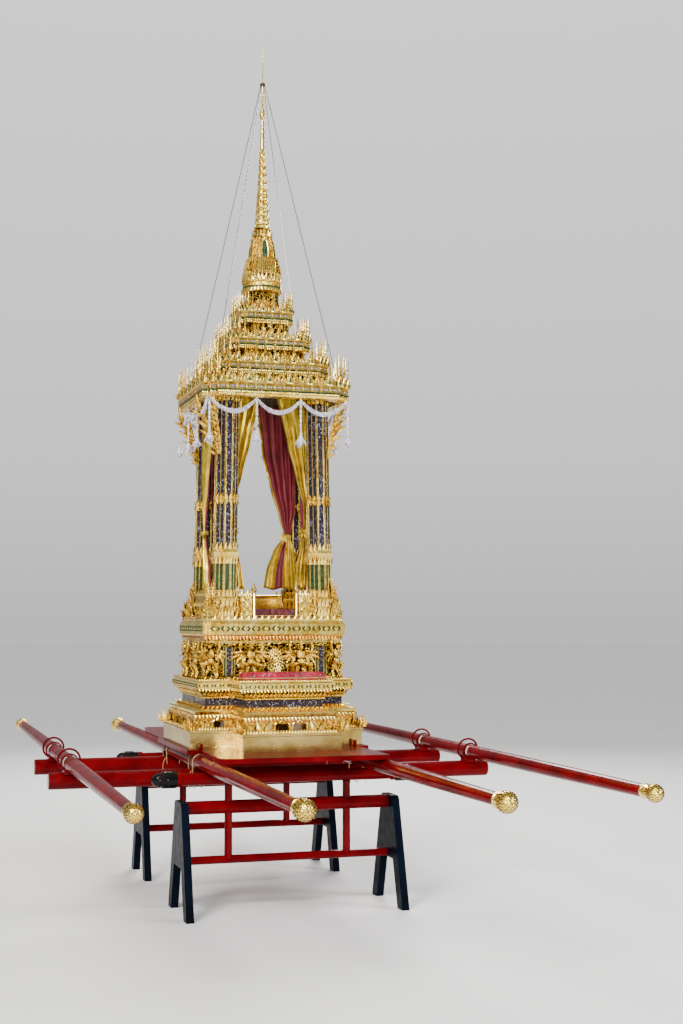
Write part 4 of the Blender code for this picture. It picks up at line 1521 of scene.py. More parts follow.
    def medallion(self, piece: Sculpt, place: Matrix) -> None:
        """A generic lotus in a ring of leaves.

        Args:
            piece: the piece to add it to.
            place: its middle, facing +Y.
        """
        place = place @ sized(0.84, 1, 1.22)
        for count, size, reach in ((22, 0.021, 0.047), (16, 0.024, 0.029), (9, 0.024, 0.008)):
            for k in range(count):
                turn = place @ spun("Y", tau * k / count) @ moved(0, 0.004, reach)
                piece.stamp(self.kit.patterns.petal, turn @ sized(size * 1.1, size * 0.7, size))
        piece.stamp(self.kit.patterns.pearl, place @ sized(0.017, 0.012, 0.017))

    def platform(self) -> None:
        """Leaf rows, the orange leaf band and the chevron band of the throne platform."""
        low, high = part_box("throne_platform")
        plan = redented(self.room[0], self.room[1], 0.018)
        self.kit.rows(plan, (
            Row("hem", "amber_gold", "leaf", 0.014, 0.050, 0.020, (0.038, 0.03, -0.036), 0.004),
            Row("beads", "bright_gold", "pearl", 0.024, 0.048, 0.013, (0.005, 0.005, 0.005)),
        ), low.z, "platform_")
        self.chevrons("platform_chevrons", plan(0.0305), (low.z + 0.055 + high.z - 0.022) / 2, 0.030, 0.062)
        crest = Row("platform_crest", "bright_gold", "antefix", 0.016, -0.004, 0.040, (0.046, 0.04, 0.034))
        self.kit.rows(plan, [crest], high.z)


# ---------------------------------------------------------------- throne room


@dataclass
class ThroneRoom:
    """Flame crests, rail carving, columns' mosaic and brackets."""

    kit: Kit
    foot: float = 0.295
    head: float = 0.275
    step: float = 0.020
    bead_pitch: float = 0.021
    mosaic_foot: float = 0.430
    flame_rows: tuple = (
        (0.0, 0.090, 0.200, 0.026), (-0.018, 0.110, 0.265, 0.028),
        (-0.034, 0.130, 0.320, 0.030), (-0.060, 0.14, 0.330, 0.036),
    )
    leaf_bands: tuple = (
        (0.415, 0.045, 1.0), (0.135, 0.048, 1.1), (0.330, 0.050, 1.05), (0.075, 0.055, 1.15), (0.020, 0.055, 1.22),
    )
    bracket: tuple = (
        (1.005, 0.055, 0.004), (1.050, 0.070, 0.022), (1.105, 0.080, 0.048),
        (1.165, 0.085, 0.084), (1.230, 0.075, 0.130),
    )
    arm: tuple = ((0.98, 0), (1.06, 0.02), (1.16, 0.07), (1.26, 0.14), (1.34, 0.17))

    def build(self) -> None:
        """Makes the pieces."""
        self.crests()
        self.rails()
        for end, y in (("front", -1), ("back", 1)):
            for side, x in (("left", -1), ("right", 1)):
                self.column(f"column_{end}_{side}", x, y)

    def crests(self) -> None:
        """Rows of flames on the platform that rise towards each corner."""
        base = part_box("throne_platform")[1].z - 0.004
        leafy = self.kit.patterns
        rng = random.Random(4)
        piece = self.kit.sculpt("corner_flames", "carved_gold")
        plan = redented(0.392, 0.352, 0.018)
        for inset, low, high, pitch in self.flame_rows:
            for site in sites(plan(inset), pitch):
                across = min(abs(site.at.x), abs(site.at.y))
                if across < 0.145:
                    continue
                t = (across - 0.13) / 0.24
                tall = low + (high - low) * min(1, t) * (0.85 + 0.15 * rng.random())
                flip = 1 if rng.random() < 0.5 else -1
                piece.stamp(leafy.flame, site.matrix(base, (0.030 + tall * 0.34, 0.085, tall), 0, 2, flip))
                piece.stamp(leafy.flame, site.matrix(base, (0.050, 0.10, tall * 0.62), 0.010, 8, -flip))
        for site in corner_sites(plan(0.004)):
            piece.stamp(leafy.antefix, site.matrix(base, (0.10, 0.11, 0.135), 0, 6))
            piece.stamp(leafy.flame, site.matrix(base, (0.12, 0.10, 0.235), -0.030, 3))
        piece.done()

    def rails(self) -> None:
        """Scrolls and top leaves on the rail panels."""
        piece = self.kit.sculpt("rail_scrolls", "bright_gold")
        flame, petal = self.kit.patterns.flame, self.kit.patterns.petal
        for node in [f"rail_panel_{place}_{side}" for place in ("front", "side") for side in ("left", "right")]:
            low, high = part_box(node)
            along = 0 if high.x - low.x > high.y - low.y else 1
            turn = spun("Z", along * pi / 2)
            length = high[along] - low[along]
            count = max(2, round(length / 0.045))
            for k in range(count):
                spot = middle(node)
                spot[along], spot.z = low[along] + length * (k + 0.5) / count, high.z - 0.004
                piece.stamp(petal, Matrix.Translation(spot) @ turn @ sized(0.060, 0.06, 0.045))
                for face in (-1, 1):
                    for level in (0.030, 0.080):
                        spot.z = low.z + level
                        out = turn @ moved(0, face * 0.011, 0)
                        lean = rolled("Y", (-1) ** k * 22)
                        matrix = Matrix.Translation(spot) @ out @ lean @ sized((-1) ** k * 0.080, 0.06, 0.066)
                        piece.stamp(flame, matrix)
        piece.done()

    def column(self, node: str, x: int, y: int) -> None:
        """Blue mosaic strips between gold beads on every face of a column, with its bands and bracket.

        Args:
            node: the CAD column.
            x: -1 on the left.
            y: -1 at the front.
        """
        kit, leafy = self.kit, self.kit.patterns
        low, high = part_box(node)
        lean = (self.head - self.foot) / (high.z - low.z)
        blue = kit.sculpt(node + "_blue", "blue_glass", Slot.GLASS)
        green = kit.sculpt(node + "_green", "green_glass", Slot.GLASS)
        gold = kit.sculpt(node + "_beads", "bright_gold")
        across, along = (1, 0, x * lean, x * self.foot), (0, 1, y * lean, y * self.foot)
        shear = Matrix((across, along, (0, 0, 1, low.z), (0, 0, 0, 1)))
        outline = [Vector(p) for p in redented(0.064, 0.064, self.step)(0)]
        top, base = high.z - low.z, self.mosaic_foot
        for a, b in zip(outline, outline[1:] + outline[:1]):
            run = b - a
            wide = run.length
            inner = 0.0150 if wide > 0.03 else wide / 2 - 0.0015
            place = shear @ Site((a + b) / 2, atan2(-run.y, -run.x)).frame(0)
            blue.box((-inner, -0.003, base), (inner, 0.0022, top), place)
            green.box((-inner * 0.8, -0.003, 0.175), (inner * 0.8, 0.0035, 0.335), place)
            if wide > 0.03:
                for edge in (-0.0178, 0.0178):
                    gold.box((edge - 0.0024, -0.003, base), (edge + 0.0024, 0.0040, top), place, 0.0008)
        for corner in outline:
            gold.stamp(tube([(corner.x, corner.y, base - 0.01), (corner.x, corner.y, top)], 0.0032, 1), shear)
        for z, tall, size in self.leaf_bands:
            for site in sites(redented(0.066 * size, 0.066 * size, self.step)(0), self.bead_pitch):
                gold.stamp(leafy.leaf, shear @ site.matrix(z, (0.040, 0.05, tall), 0.002, 10))
        gold.done()
        for glass in (blue, green):
            glass.done(smooth=20)
        self.bands(node, shear, top, x, y)

    def bands(self, node: str, shear: Matrix, top: float, x: int, y: int) -> None:
        """The leaf clasp half-way up a column and the flame bracket under the eave.

        Args:
            node: the CAD column.
            shear: the column's place and lean.
            top: its height.
            x: -1 on the left.
            y: -1 at the front.
        """
        leafy = self.kit.patterns
        piece = self.kit.sculpt(node + "_brackets", "carved_gold")
        spots = list(sites(redented(0.066, 0.066, self.step)(0), self.bead_pitch))
        for site in spots:
            for flip in (-1, 1):
                matrix = site.matrix(0.715, (0.038, 0.07, flip * 0.034), 0.001, flip * 6)
                piece.stamp(leafy.leaf, shear @ matrix)
        diagonal = Site(Vector((x * 0.055, y * 0.055)), atan2(y, x) - pi / 2)
        side = Site(Vector((x * 0.062, 0)), (0 if x > 0 else pi) - pi / 2)
        for site, reach, share in ((diagonal, 0.50, 0.72), (side, 0.75, 1.0)):
            for z, tall, out in self.bracket:
                for flip in (-1, 1):
                    matrix = site.matrix(z, (0.085 * share, 0.11, tall * share), out * reach, 30, flip)
                    piece.stamp(leafy.flame, shear @ matrix)
                matrix = site.matrix(z - 0.02, (0.065 * share, 0.12, tall * share), out * reach, 42)
                piece.stamp(leafy.petal, shear @ matrix)
            arm = [site.frame(z) @ Vector((0, out * reach, 0)) for z, out in self.arm]
            piece.stamp(tube(spline(arm, 3), [0.011] * 12 + [0.008], 2), shear)
        for site in spots:
            piece.stamp(leafy.leaf, shear @ site.matrix(top - 0.075, (0.042, 0.10, 0.075), 0.004, 14))
        piece.done()


@dataclass
class Cushions:
    """The padded seat and step, blown up from the CAD solids."""

    kit: Kit
    voxel: float = 0.006
    inset: float = 0.010
    corner: float = 0.03
    piping: float = 0.0032
    pressure: float = 4
    frames: int = 20
    swell: tuple = (0.004, 0.004, 0.008)

    def build(self) -> None:
        """Makes the cushions."""
        for node, finish in (("step_cushion", "velvet"), ("seat_cushion", "maroon")):
            self.cushion(node, finish)

    def cushion(self, node: str, finish: str) -> None:
        """One cushion with its piped seam.

        Args:
            node: the CAD node it stands for.
            finish: its finish's name.
        """
        low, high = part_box(node)
        piece = self.kit.sculpt(node + "_padded", finish, Slot.VELVET)
        inset = self.inset
        piece.box(low + Vector((inset, inset, 0.001)), high - Vector((inset, inset, 0.002)), soft=0.014)
        made = piece.done(node, smooth=180)
        remesh = made.modifiers.new("remesh", "REMESH")
        remesh.mode = "VOXEL"
        remesh.voxel_size = self.voxel
        remesh.use_smooth_shade = True
        apply(made)
        self.blow(made, low, high)
        seam = self.kit.sculpt(node + "_piping", "cord", Slot.SATIN)
        centre, r = middle(node), self.corner
        x, y = (high.x - low.x) / 2 - 0.004 - r, (high.y - low.y) / 2 - 0.004 - r
        route = []
        for sx, sy, start in ((1, 1, 0), (-1, 1, 90), (-1, -1, 180), (1, -1, 270)):
            for k in range(5):
                a = radians(start + 22.5 * k)
                route.append((centre.x + sx * x + r * cos(a), centre.y + sy * y + r * sin(a), centre.z - 0.004))
        seam.stamp(tube(route, self.piping, 1, True))
        seam.done()

    def blow(self, made: bpy.types.Object, low: Vector, high: Vector) -> None:
        """Inflates a cushion by cloth simulation and keeps it within its CAD solid.

        Args:
            made: the cushion.
            low: the CAD solid's lowest corner.
            high: the CAD solid's highest corner.
        """
        cloth = made.modifiers.new("cloth", "CLOTH")
        cloth.settings.use_pressure = True
        cloth.settings.uniform_pressure_force = self.pressure
        cloth.settings.effector_weights.gravity = 0
        cloth.point_cache.frame_start = 1
        cloth.point_cache.frame_end = self.frames
        scene = bpy.context.scene
        for frame in range(1, self.frames + 1):
            scene.frame_set(frame)
        apply(made)
        scene.frame_set(1)
        for vert in made.data.vertices:
            for axis, margin in enumerate(self.swell):
                least = low[axis] + (0.0006 if axis == 2 else -margin)
                vert.co[axis] = min(max(vert.co[axis], least), high[axis] + margin)


def apply(made: bpy.types.Object) -> None:
    """Turns an object's modifiers into its mesh.

    Args:
        made: the object.
    """
    graph = bpy.context.evaluated_depsgraph_get()
    mesh = bpy.data.meshes.new_from_object(made.evaluated_get(graph))
    made.modifiers.clear()
    made.data = mesh


@dataclass(frozen=True)
class Fall:
    """A curtain's edges, as (distance from the opening's middle, height share) pairs from the top down."""

    inner: tuple
    outer: tuple
    tie: float = 0.300
    gold_hem: float = 0.0


FRONT_FALL = Fall(
    (
        (0.052, 1.0), (0.118, 0.75), (0.165, 0.60), (0.218, 0.42),
        (0.222, 0.300), (0.196, 0.20), (0.170, 0.10), (0.160, 0.0),
    ),
    ((0.272, 1.0), (0.270, 0.42), (0.252, 0.300), (0.272, 0.18), (0.276, 0.0)),
)
BACK_FALL = Fall(
    (
        (0.012, 1.0), (0.046, 0.74), (0.105, 0.55), (0.168, 0.38),
        (0.200, 0.290), (0.128, 0.20), (0.085, 0.10), (0.066, 0.0),
    ),
    ((0.270, 1.0), (0.268, 0.42), (0.236, 0.290), (0.262, 0.18), (0.280, 0.0)), 0.290, 0.10,
)
SIDE_FALL = Fall(
    (
        (-0.060, 1.0), (0.010, 0.74), (0.080, 0.55), (0.140, 0.38),
        (0.158, 0.300), (0.120, 0.20), (0.070, 0.10), (0.050, 0.0),
    ),
    ((0.206, 1.0), (0.204, 0.42), (0.190, 0.300), (0.204, 0.18), (0.206, 0.0)),
)


@dataclass
class Curtains:
    """Gathered satin curtains with a crimson lining, tied back at their columns."""

    kit: Kit
    columns: int = 52
    rows: int = 70
    pleats: float = 4.5
    swell: float = 0.0215
    plane: float = 0.190
    side_plane: float = 0.318
    thickness: float = 0.0012

    def build(self) -> None:
        """Makes the curtains."""
        for end, y, fall in (("front", -1, FRONT_FALL), ("back", 1, BACK_FALL)):
            for side, x in (("left", -1), ("right", 1)):
                node = f"curtain_{end}_{side}"
                self.curtain(node, fall, sized(x, y, 1) @ moved(0, self.plane, 0), node)
        for side, x in (("left", -1), ("right", 1)):
            place = Matrix(((0, x, 0, x * self.side_plane), (1, 0, 0, 0), (0, 0, 1, 0), (0, 0, 0, 1)))
            self.curtain(f"curtain_side_{side}", SIDE_FALL, place, None)

    @staticmethod
    def read(table: Sequence, height: float) -> float:
        """Reads a value from (value, height) pairs that run downwards.

        Args:
            table: the pairs.
            height: the height, from 0 at the hem to 1.

        Returns:
            The value there.
        """
        for (upper, top), (lower, bottom) in zip(table, table[1:]):
            if height >= bottom:
                t = (height - bottom) / (top - bottom)
                t = t * t * (3 - 2 * t) * 0.4 + t * 0.6
                return lower + (upper - lower) * t
        return table[-1][0]

    def curtain(self, name: str, fall: Fall, place: Matrix, node: str | None) -> None:
        """One curtain, its tie band and its bow.

        Args:
            name: its name.
            fall: its edges.
            place: where it hangs: X runs out from the opening's middle and Y out of the throne.
            node: the CAD node it stands for, if any.
        """
        low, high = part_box("curtain_front_left")
        tall = high.z - low.z
        bm = bmesh.new()
        bmesh.ops.create_grid(bm, x_segments=self.columns, y_segments=self.rows, size=0.5)
        phase = sum(map(ord, name)) % 7
        shares = {}
        for vert in bm.verts:
            u, v = vert.co.x + 0.5, vert.co.y + 0.5
            shares[vert.index] = (u, v)
            near, far = self.read(fall.inner, v), self.read(fall.outer, v)
            pinch = max(0.0, 1 - abs(v - fall.tie) / 0.20)
            drift = 0.9 * sin(4 * v + phase) + 2.2 * pinch * (u - 0.5)
            wave = sin(tau * self.pleats * u + phase + drift)
            wave += 0.30 * sin(tau * self.pleats * 2.3 * u + 2 * phase - drift)
            sway = 0.32 * sin(6 * v + 7 * u + phase)
            depth = self.swell * (1 - 0.50 * pinch) * (wave * 0.62 + sway) * (0.75 + 0.25 * sin(3 * v + u))
            along = near + (far - near) * (u + 0.020 * sin(tau * self.pleats * u + phase) * (1 - pinch))
            hem = 0.007 * (1 - v) ** 8 * sin(tau * 2 * u + phase)
            vert.co = place @ Vector((along, depth, low.z + 0.010 + (tall - 0.014) * v + hem))
        for face in bm.faces:
            u = sum(shares[vert.index][0] for vert in face.verts) / 4
            v = sum(shares[vert.index][1] for vert in face.verts) / 4
            folded = fall.gold_hem and (u < fall.gold_hem or (v < fall.tie and abs(u - 0.45) > 0.13))
            face.material_index = 2 if folded else 0
        self.cloth(name, bm, place, node, tall)
        self.tie(name, fall, place, low.z + tall * fall.tie)

    def cloth(self, name: str, bm: bmesh.types.BMesh, place: Matrix, node: str | None, tall: float) -> None:
        """Args:
            name: its name.
            bm: its surface.
            place: where it hangs.
            node: the CAD node it stands for, if any.
            tall: its height. Not used.
        """
        satin, lining = self.kit.finishes["satin"], self.kit.finishes["lining"]
        outward = (place.to_3x3() @ Vector((0, 1, 0))).normalized()
        mesh = to_mesh(name, bm)
        facing = sum(face.normal.dot(outward) * face.area for face in mesh.polygons)
        if facing < 0:
            mesh.flip_normals()
        for finish in (satin, lining, satin, satin):
            mesh.materials.append(finish)
        mesh.shade_smooth()
        made = bpy.data.objects.new(name + "_satin", mesh)
        bpy.context.scene.collection.objects.link(made)
        skin = made.modifiers.new("skin", "SOLIDIFY")
        skin.thickness = self.thickness
        skin.offset = -1
        skin.material_offset = 1
        apply(made)
        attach(made, Body.MAIN.value)
        if node:
            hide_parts(node)

    def tie(self, name: str, fall: Fall, place: Matrix, z: float) -> None:
        """The satin band round a curtain, with its knot and tails.

        Args:
            name: the curtain's name.
            fall: its edges.
            place: where it hangs.
            z: the band's height.
        """
        near, far = self.read(fall.inner, fall.tie), self.read(fall.outer, fall.tie)
        middle, half = (near + far) / 2, (far - near) / 2 + 0.004
        band = self.kit.sculpt(name + "_tie", "satin", Slot.SATIN)
        for lift in (-0.007, 0.0, 0.007):
            route = [
                (middle + half * cos(tau * k / 18), 0.019 * sin(tau * k / 18), z + lift + 0.003 * sin(tau * k / 9))
                for k in range(18)
            ]
            band.stamp(tube(route, 0.0055, 1, True), place)
        facing = -1 if fall.gold_hem else 1
        knot = place @ moved(near - 0.002, facing * 0.012, z)
        band.stamp(self.kit.patterns.pearl, knot @ Matrix.Scale(0.011, 4))
        for turn, size in ((-75, 0.040), (-118, 0.046), (-160, 0.055), (160, 0.050), (-40, 0.030)):
            tail = knot @ rolled("Y", turn) @ sized(size * 0.9, size * 0.55, size)
            band.stamp(self.kit.patterns.petal, tail)
        band.done()


# ---------------------------------------------------------------- roof


@dataclass(frozen=True)
class Tier:
    """One square roof tier: its CAD node and what stands on it."""

    node: str
    step: float
    leaf: float
    gable: float
    needle: float
    pitch: float
    low: float
    top: float
    neck: float


@dataclass
class Roof:
    """Mosaic lines, inlaid bands, leaf rows, gables and needles on every tier, and the spire."""

    kit: Kit
    tiers: tuple = (
        Tier("roof_eave", 0.040, 0.038, 0.062, 0.170, 0.118, 2.937, 3.022, 0.362),
        Tier("roof_tier_2", 0.0308, 0.034, 0.056, 0.150, 0.104, 3.088, 3.165, 0.222),
        Tier("roof_tier_3", 0.0226, 0.032, 0.052, 0.135, 0.088, 3.258, 3.326, 0.140),
        Tier("roof_tier_4", 0.0147, 0.030, 0.048, 0.120, 0.072, 3.436, 3.511, 0.088),
    )
    bell_profile: tuple = (
        (0.094, 0), (0.104, 0.06), (0.102, 0.13), (0.088, 0.25), (0.074, 0.45), (0.066, 0.66),
        (0.062, 0.82), (0.060, 0.87), (0.050, 0.91), (0.058, 0.95), (0.052, 1.0),
    )
    bell_rows: tuple = (
        (0.02, -0.106, 0.066), (0.10, -0.104, 0.058), (0.18, -0.096, 0.054),
        (0.26, -0.090, 0.048), (0.34, -0.085, 0.042),
    )
    niche_frame: tuple = ((0.018, -0.084, 0.42), (0.020, -0.076, 0.60), (0.010, -0.071, 0.74), (0, -0.070, 0.80))
    rings: tuple = (
        (4.110, 0.047), (4.165, 0.042), (4.215, 0.038), (4.260, 0.034), (4.300, 0.031),
        (4.352, 0.029), (4.402, 0.026), (4.450, 0.023), (4.496, 0.021), (4.540, 0.018),
    )
    ring_bulge: tuple = ((0.74, -0.022), (0.97, -0.010), (1.0, 0.0), (0.92, 0.009), (0.72, 0.018))
    rod: tuple = (
        (0.0150, 4.590), (0.0135, 4.66), (0.0100, 4.760), (0.0110, 4.770), (0.0190, 4.796), (0.0190, 4.808),
        (0.0115, 4.832), (0.0060, 4.850), (0.0055, 4.985), (0.0075, 4.996), (0.0075, 5.008), (0.0028, 5.020),
    )

    def build(self) -> None:
        """Makes the pieces."""
        for tier in self.tiers:
            self.tier(tier)
            self.neck(tier)
        self.round_tier()
        self.bell()
        self.spire()

    def tier(self, tier: Tier) -> None:
        """One square tier.

        Args:
            tier: the tier.
        """
        kit, leafy = self.kit, self.kit.patterns
        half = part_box(tier.node)[1].x - 0.003
        plan = redented(half, half, tier.step)
        low, top, name = tier.low, tier.top, tier.node
        roll = (top - low) * 0.40
        line = kit.sculpt(name + "_line", "green_glass", Slot.GLASS)
        line.block(plan, [(low + roll - 0.001, 0.0), (low + roll + 0.007, 0.0)]).done()
        leaves = Row("_roll_leaves", "bright_gold", "petal", -0.005, roll * 0.92, 0.0125, (0.024, 0.024, -roll * 0.92))
        kit.rows(plan, [leaves], low, name)
        self.inlay(name, plan, low + roll + 0.008, top - 0.012)
        kit.rows(plan, (
            Row("_leaves", "bright_gold", "leaf", -0.004, -0.002, 0.019, (0.040, 0.05, tier.leaf), tip=-4),
            Row(
                "_back_leaves", "carved_gold", "antefix", -0.022, -0.002, 0.034,
                (0.050, 0.06, tier.leaf * 1.5), tip=-8,
            ),
        ), top, name)
        gables = kit.sculpt(name + "_gables", "bright_gold")
        hearts = kit.sculpt(name + "_hearts", "green_glass", Slot.GLASS)
        needles = kit.sculpt(name + "_needles", "bright_gold")
        tall = tier.gable
        for site in list(sites(plan(-0.006), tier.pitch, 0.3)) + list(corner_sites(plan(-0.008))):
            gables.stamp(leafy.antefix, site.matrix(top - 0.002, (tall * 0.95, 0.09, tall), 0.003))
            gables.stamp(leafy.leaf, site.matrix(top - 0.002, (tall * 1.15, 0.05, tall * 1.25), -0.006))
            hearts.stamp(leafy.leaf, site.matrix(top + 0.004, (tall * 0.42, 0.05, tall * 0.50), 0.012))
            needles.stamp(leafy.needle, site.matrix(top + tall * 0.45, (0.15, 0.15, tier.needle), 0.004))
        for site in sites(plan(-0.020), tier.pitch * 0.6, 0.3):
            needles.stamp(leafy.needle, site.matrix(top, (0.13, 0.13, tier.needle * 1.05)))
        for piece in (gables, hearts, needles):
            piece.done()

    def neck(self, tier: Tier) -> None:
        """A dark pierced sleeve, painted shade for the gap under the tier above, and two rows of leaves that climb from
        a cornice to the tier above.

        Args:
            tier: the tier.
        """
        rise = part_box(tier.node)[1].z - tier.top
        plan = redented(tier.neck, tier.neck, tier.step)
        # The sleeve is painted shade: a dark pierced block in the gap under the tier above.
        sleeve = self.kit.sculpt(tier.node + "_sleeve", "pierced_gold")
        sleeve.block(plan, [(tier.top + 0.0008, 0.003), (tier.top + rise, 0.003)]).done()
        self.kit.rows(plan, (
            Row("_neck_0", "amber_gold", "antefix", 0.020, -0.001, 0.036, (0.060, 0.07, rise * 0.60), tip=-6),
            Row("_neck_1", "carved_gold", "antefix", 0.006, -0.001, 0.046, (0.060, 0.07, rise * 0.95), tip=-6),
        ), tier.top, tier.node)

    def inlay(self, name: str, plan: Outline, low: float, high: float) -> None:
        """Small glass panels in gold frames along a cornice band.

        Args:
            name: the tier's name.
            plan: its plan.
            low: the band's lower edge.
            high: the band's upper edge.
        """
        glass = self.kit.sculpt(name + "_inlay", "silver_glass", Slot.GLASS)
        frames = self.kit.sculpt(name + "_frames", "bright_gold")
        tall = (high - low) / 2
        for site in sites(plan(-0.004), 0.056):
            place = site.frame((low + high) / 2)
            half = 0.015 * site.stretch
            glass.box((-half, -0.003, -tall * 0.34), (half, 0.0015, tall * 0.34), place)
            for edge in (-1, 1):
                z, x = edge * tall * 0.62, edge * (half + 0.003)
                frames.box((-half - 0.003, -0.003, z - 0.0016), (half + 0.003, 0.003, z + 0.0016), place)
                frames.box((x - 0.0016, -0.003, -tall * 0.6), (x + 0.0016, 0.003, tall * 0.6), place)
            bead = place @ moved(0.028 * site.stretch, 0, 0) @ sized(0.006, 0.005, tall * 0.6)
            frames.stamp(self.kit.patterns.pearl, bead)
        glass.done(smooth=20)
        frames.done()

    def round_tier(self) -> None:
        """The round tier under the bell."""
        kit = self.kit
        low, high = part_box("roof_tier_5")
        z = low.z
        roll = ((0.098, 0.0), (0.118, 0.004), (0.126, 0.016), (0.122, 0.028), (0.114, 0.034))
        band = ((0.121, 0.040), (0.121, 0.062), (0.126, 0.066), (0.126, 0.074))
        profile = [(0, z), (0.098, z)] + [tuple(p) for p in spline([(r, z + up) for r, up in roll], 3)]
        profile += [(r, z + up) for r, up in band] + [(0.100, high.z), (0, high.z)]
        kit.sculpt("round_tier", "carved_gold").stamp(lathe("round_tier", profile, 48)).done("roof_tier_5")
        plan = round_plan(0.122, 30)
        line = kit.sculpt("round_tier_line", "green_glass", Slot.GLASS)
        line.block(plan, [(z + 0.030, 0.0), (z + 0.038, 0.0)]).done()
        kit.rows(plan, (
            Row("petals", "bright_gold", "petal", 0.002, 0.028, 0.024, (0.045, 0.03, -0.026)),
            Row("leaves", "bright_gold", "antefix", 0.0, 0.070, 0.030, (0.036, 0.05, 0.052)),
            Row("flames", "carved_gold", "antefix", -0.018, 0.070, 0.034, (0.046, 0.06, 0.090), tip=-8),
        ), z, "round_tier_")
        needles = Row("round_tier_needles", "bright_gold", "needle", 0.0, 0.085, 0.07, (0.10, 0.10, 0.115))
        kit.rows(round_plan(0.116, 10), [needles], z)

    def bell(self) -> None:
        """The redented bell with its niches and rows of petals."""
        kit, leafy = self.kit, self.kit.patterns
        low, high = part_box("roof_bell")
        z, tall = low.z, high.z - low.z
        body = kit.sculpt("bell_body", "carved_gold")
        levels = [(z + tall * t, radius - 0.100) for radius, t in self.bell_profile]
        body.block(redented(0.100, 0.100, 0.016, 3), levels).done("roof_bell", smooth=25)
        ribs = kit.sculpt("bell_leaves", "bright_gold")
        niche = kit.sculpt("bell_niches", "green_glass", Slot.GLASS)
        slope = rolled("X", -8)
        for turn in quarter_turns():
            for step, (up, out, size) in enumerate(self.bell_rows):
                for x in ((-0.039, -0.013, 0.013, 0.039) if step % 2 else (-0.052, -0.026, 0, 0.026, 0.052)):
                    place = turn @ moved(x * (1 - up * 0.5), out, z + tall * up) @ slope
                    ribs.stamp(leafy.petal, place @ sized(0.044, -0.075, size))
            niche.stamp(leafy.leaf, turn @ moved(0, -0.082, z + tall * 0.44) @ slope @ sized(0.060, -0.06, 0.135))
            for edge in (-1, 1):
                route = [turn @ Vector((edge * x, y, z + tall * up)) for x, y, up in self.niche_frame]
                ribs.stamp(tube(spline(route, 3), 0.0032, 1))
        for site in sites(round_plan(0.062, 18)(), 0.022):
            ribs.stamp(leafy.leaf, site.matrix(z + tall * 0.84, (0.036, 0.05, 0.040), 0.0, 6))
        ribs.done()
        niche.done()
        needles = Row("bell_needles", "bright_gold", "needle", 0.0, 0.045, 0.074, (0.10, 0.10, 0.135))
        kit.rows(round_plan(0.100, 8), [needles], z)

    def spire(self) -> None:
        """The ringed spire, its lotus knob and the slim rod."""
        kit, leafy = self.kit, self.kit.patterns
        low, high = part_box("spire")
        profile = [(0, low.z), (0.050, low.z), (0.052, low.z + 0.012), (0.040, low.z + 0.022)]
        for z, radius in self.rings:
            profile += [tuple(p) for p in spline([(radius * share, z + up) for share, up in self.ring_bulge], 2)]
        profile += [*self.rod, (0.0022, high.z - 0.010), (0.0040, high.z - 0.005), (0, high.z)]
        kit.sculpt("spire_body", "bright_gold").stamp(lathe("spire_body", profile, 36)).done("spire")
        leaves = kit.sculpt("spire_leaves", "carved_gold")
        for z, radius in self.rings:
            for site in sites(round_plan(radius * 0.92, 12)(), radius * 0.50):
                leaves.stamp(leafy.leaf, site.matrix(z + 0.006, (radius * 0.8, 0.04, 0.024), 0, 6))
        for k in range(9):
            for z, size in ((4.775, (0.020, 0.05, 0.040)), (4.640, (0.018, 0.03, 0.045))):
                leaves.stamp(leafy.petal, spun("Z", tau * k / 9) @ moved(0, 0.008, z) @ sized(*size))
        leaves.done()


# ---------------------------------------------------------------- flowers


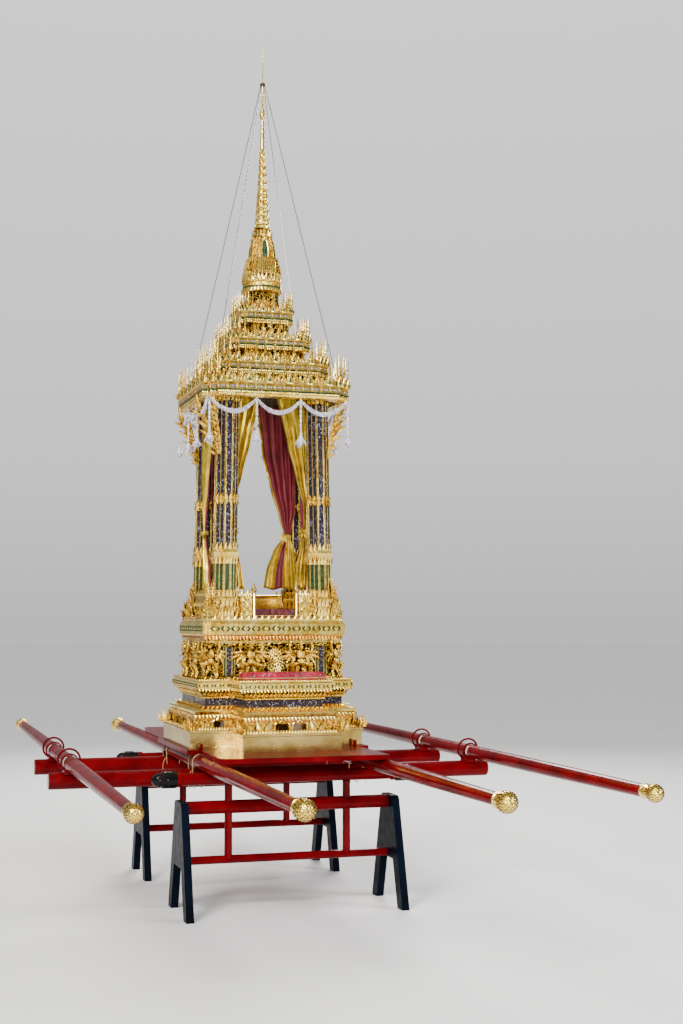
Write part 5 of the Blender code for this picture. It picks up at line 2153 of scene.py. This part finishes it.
@dataclass
class Garland:
    """Threaded blossoms swagged round the eave, with a tassel at every hook."""

    kit: Kit
    hooks: tuple = (-0.420, -0.135, 0.135, 0.420)
    edge: float = 0.432
    z: float = 2.925
    drop: float = 0.078
    tassel: float = 0.285
    beads: int = 24
    tuft: tuple = ((9, 138, 0.060), (7, 158, 0.066), (5, 172, 0.062))
    density: float = 118

    def build(self) -> None:
        """Makes the garland."""
        rng = random.Random(7)
        chain = self.kit.sculpt("garland_blossoms", "blossom", Slot.FLOWERS)
        buds = self.kit.sculpt("garland_buds", "pink_bud", Slot.FLOWERS)
        knobs = self.kit.sculpt("garland_hooks", "bright_gold")
        for turn in quarter_turns():
            for a, b in zip(self.hooks, self.hooks[1:]):
                self.swag(chain, buds, turn, a, b, rng)
            for x in self.hooks[:3]:
                spot = turn @ Vector((x, -self.edge, self.z))
                self.string(chain, buds, spot, rng)
                knobs.stamp(self.kit.patterns.pearl, moved(spot.x, spot.y, spot.z + 0.010) @ Matrix.Scale(0.008, 4))
        chain.done("flower_garland")
        buds.done()
        knobs.done()

    def swag(self, chain: Sculpt, buds: Sculpt, turn: Matrix, a: float, b: float, rng: random.Random) -> None:
        """One hanging length of threaded blossoms, thicker in its middle.

        Args:
            chain: the white blossoms.
            buds: the pink buds.
            turn: the roof side's turn.
            a: the first hook's place.
            b: the second hook's place.
            rng: the random source.
        """
        pearl = self.kit.patterns.pearl
        steps = round(abs(b - a) * self.density)
        for k in range(steps + 1):
            t = k / steps
            sag = 4 * t * (1 - t)
            girth = 0.0028 + 0.0066 * sag**0.8
            centre = Vector((a + (b - a) * t, -self.edge, self.z - sag * self.drop))
            slope = (1 - 2 * t) * 4 * self.drop / (b - a)
            for j in range(5):
                spin = tau * (j + 0.5 * (k % 2)) / 5
                out = Vector((slope * 0.4 * cos(spin), sin(spin), cos(spin))) * girth
                size = 0.0038 + 0.0030 * rng.random()
                turned = turn @ Matrix.Translation(centre + out) @ spun("Z", rng.random() * tau)
                target = buds if (k % 9 == 4 and j % 2) else chain
                target.stamp(pearl, turned @ sized(size * 0.7, size, size * 1.1))

    def string(self, chain: Sculpt, buds: Sculpt, spot: Vector, rng: random.Random) -> None:
        """One tassel: a thread of buds with a flared tuft of petals.

        Args:
            chain: the white blossoms.
            buds: the pink buds.
            spot: the hook.
            rng: the random source.
        """
        leafy = self.kit.patterns
        length = self.tassel - 0.070
        for k in range(self.beads):
            z = spot.z - 0.012 - length * k / self.beads
            size = 0.0050 + 0.0030 * (k % 3 == 0) + 0.0015 * rng.random()
            thread = chain if k % 3 else buds
            thread.stamp(leafy.pearl, moved(spot.x, spot.y, z) @ sized(size, size, size * 1.1))
        foot = Vector((spot.x, spot.y, spot.z - self.tassel + 0.066))
        chain.stamp(leafy.pearl, Matrix.Translation(foot) @ Matrix.Scale(0.014, 4))
        for ring, (count, tip, tall) in enumerate(self.tuft):
            for k in range(count):
                site = Site(Vector((foot.x, foot.y)), tau * (k + 0.4 * ring + 0.3 * rng.random()) / count)
                size = (0.030, 0.026, tall * (0.7 + 0.5 * rng.random()))
                chain.stamp(leafy.petal, site.matrix(foot.z, size, 0.003, tip))


def main() -> None:
    """Builds the looks in order, from the camera to the flowers."""
    logging.basicConfig(level=logging.INFO, format="%(name)s: %(message)s")
    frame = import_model()
    setting = Setting()
    setting.camera()
    finishes = Finishes().build()
    kit = Kit(finishes, Patterns().build())
    setting.build()
    Coats(finishes, frame["nodes"]).build()
    for part in (CarryingFrame, Base, ThroneRoom, Cushions, Curtains, Roof, Garland):
        part(kit).build()
        LOG.info("%s built", part.__name__)


if __name__ == "__main__":
    main()
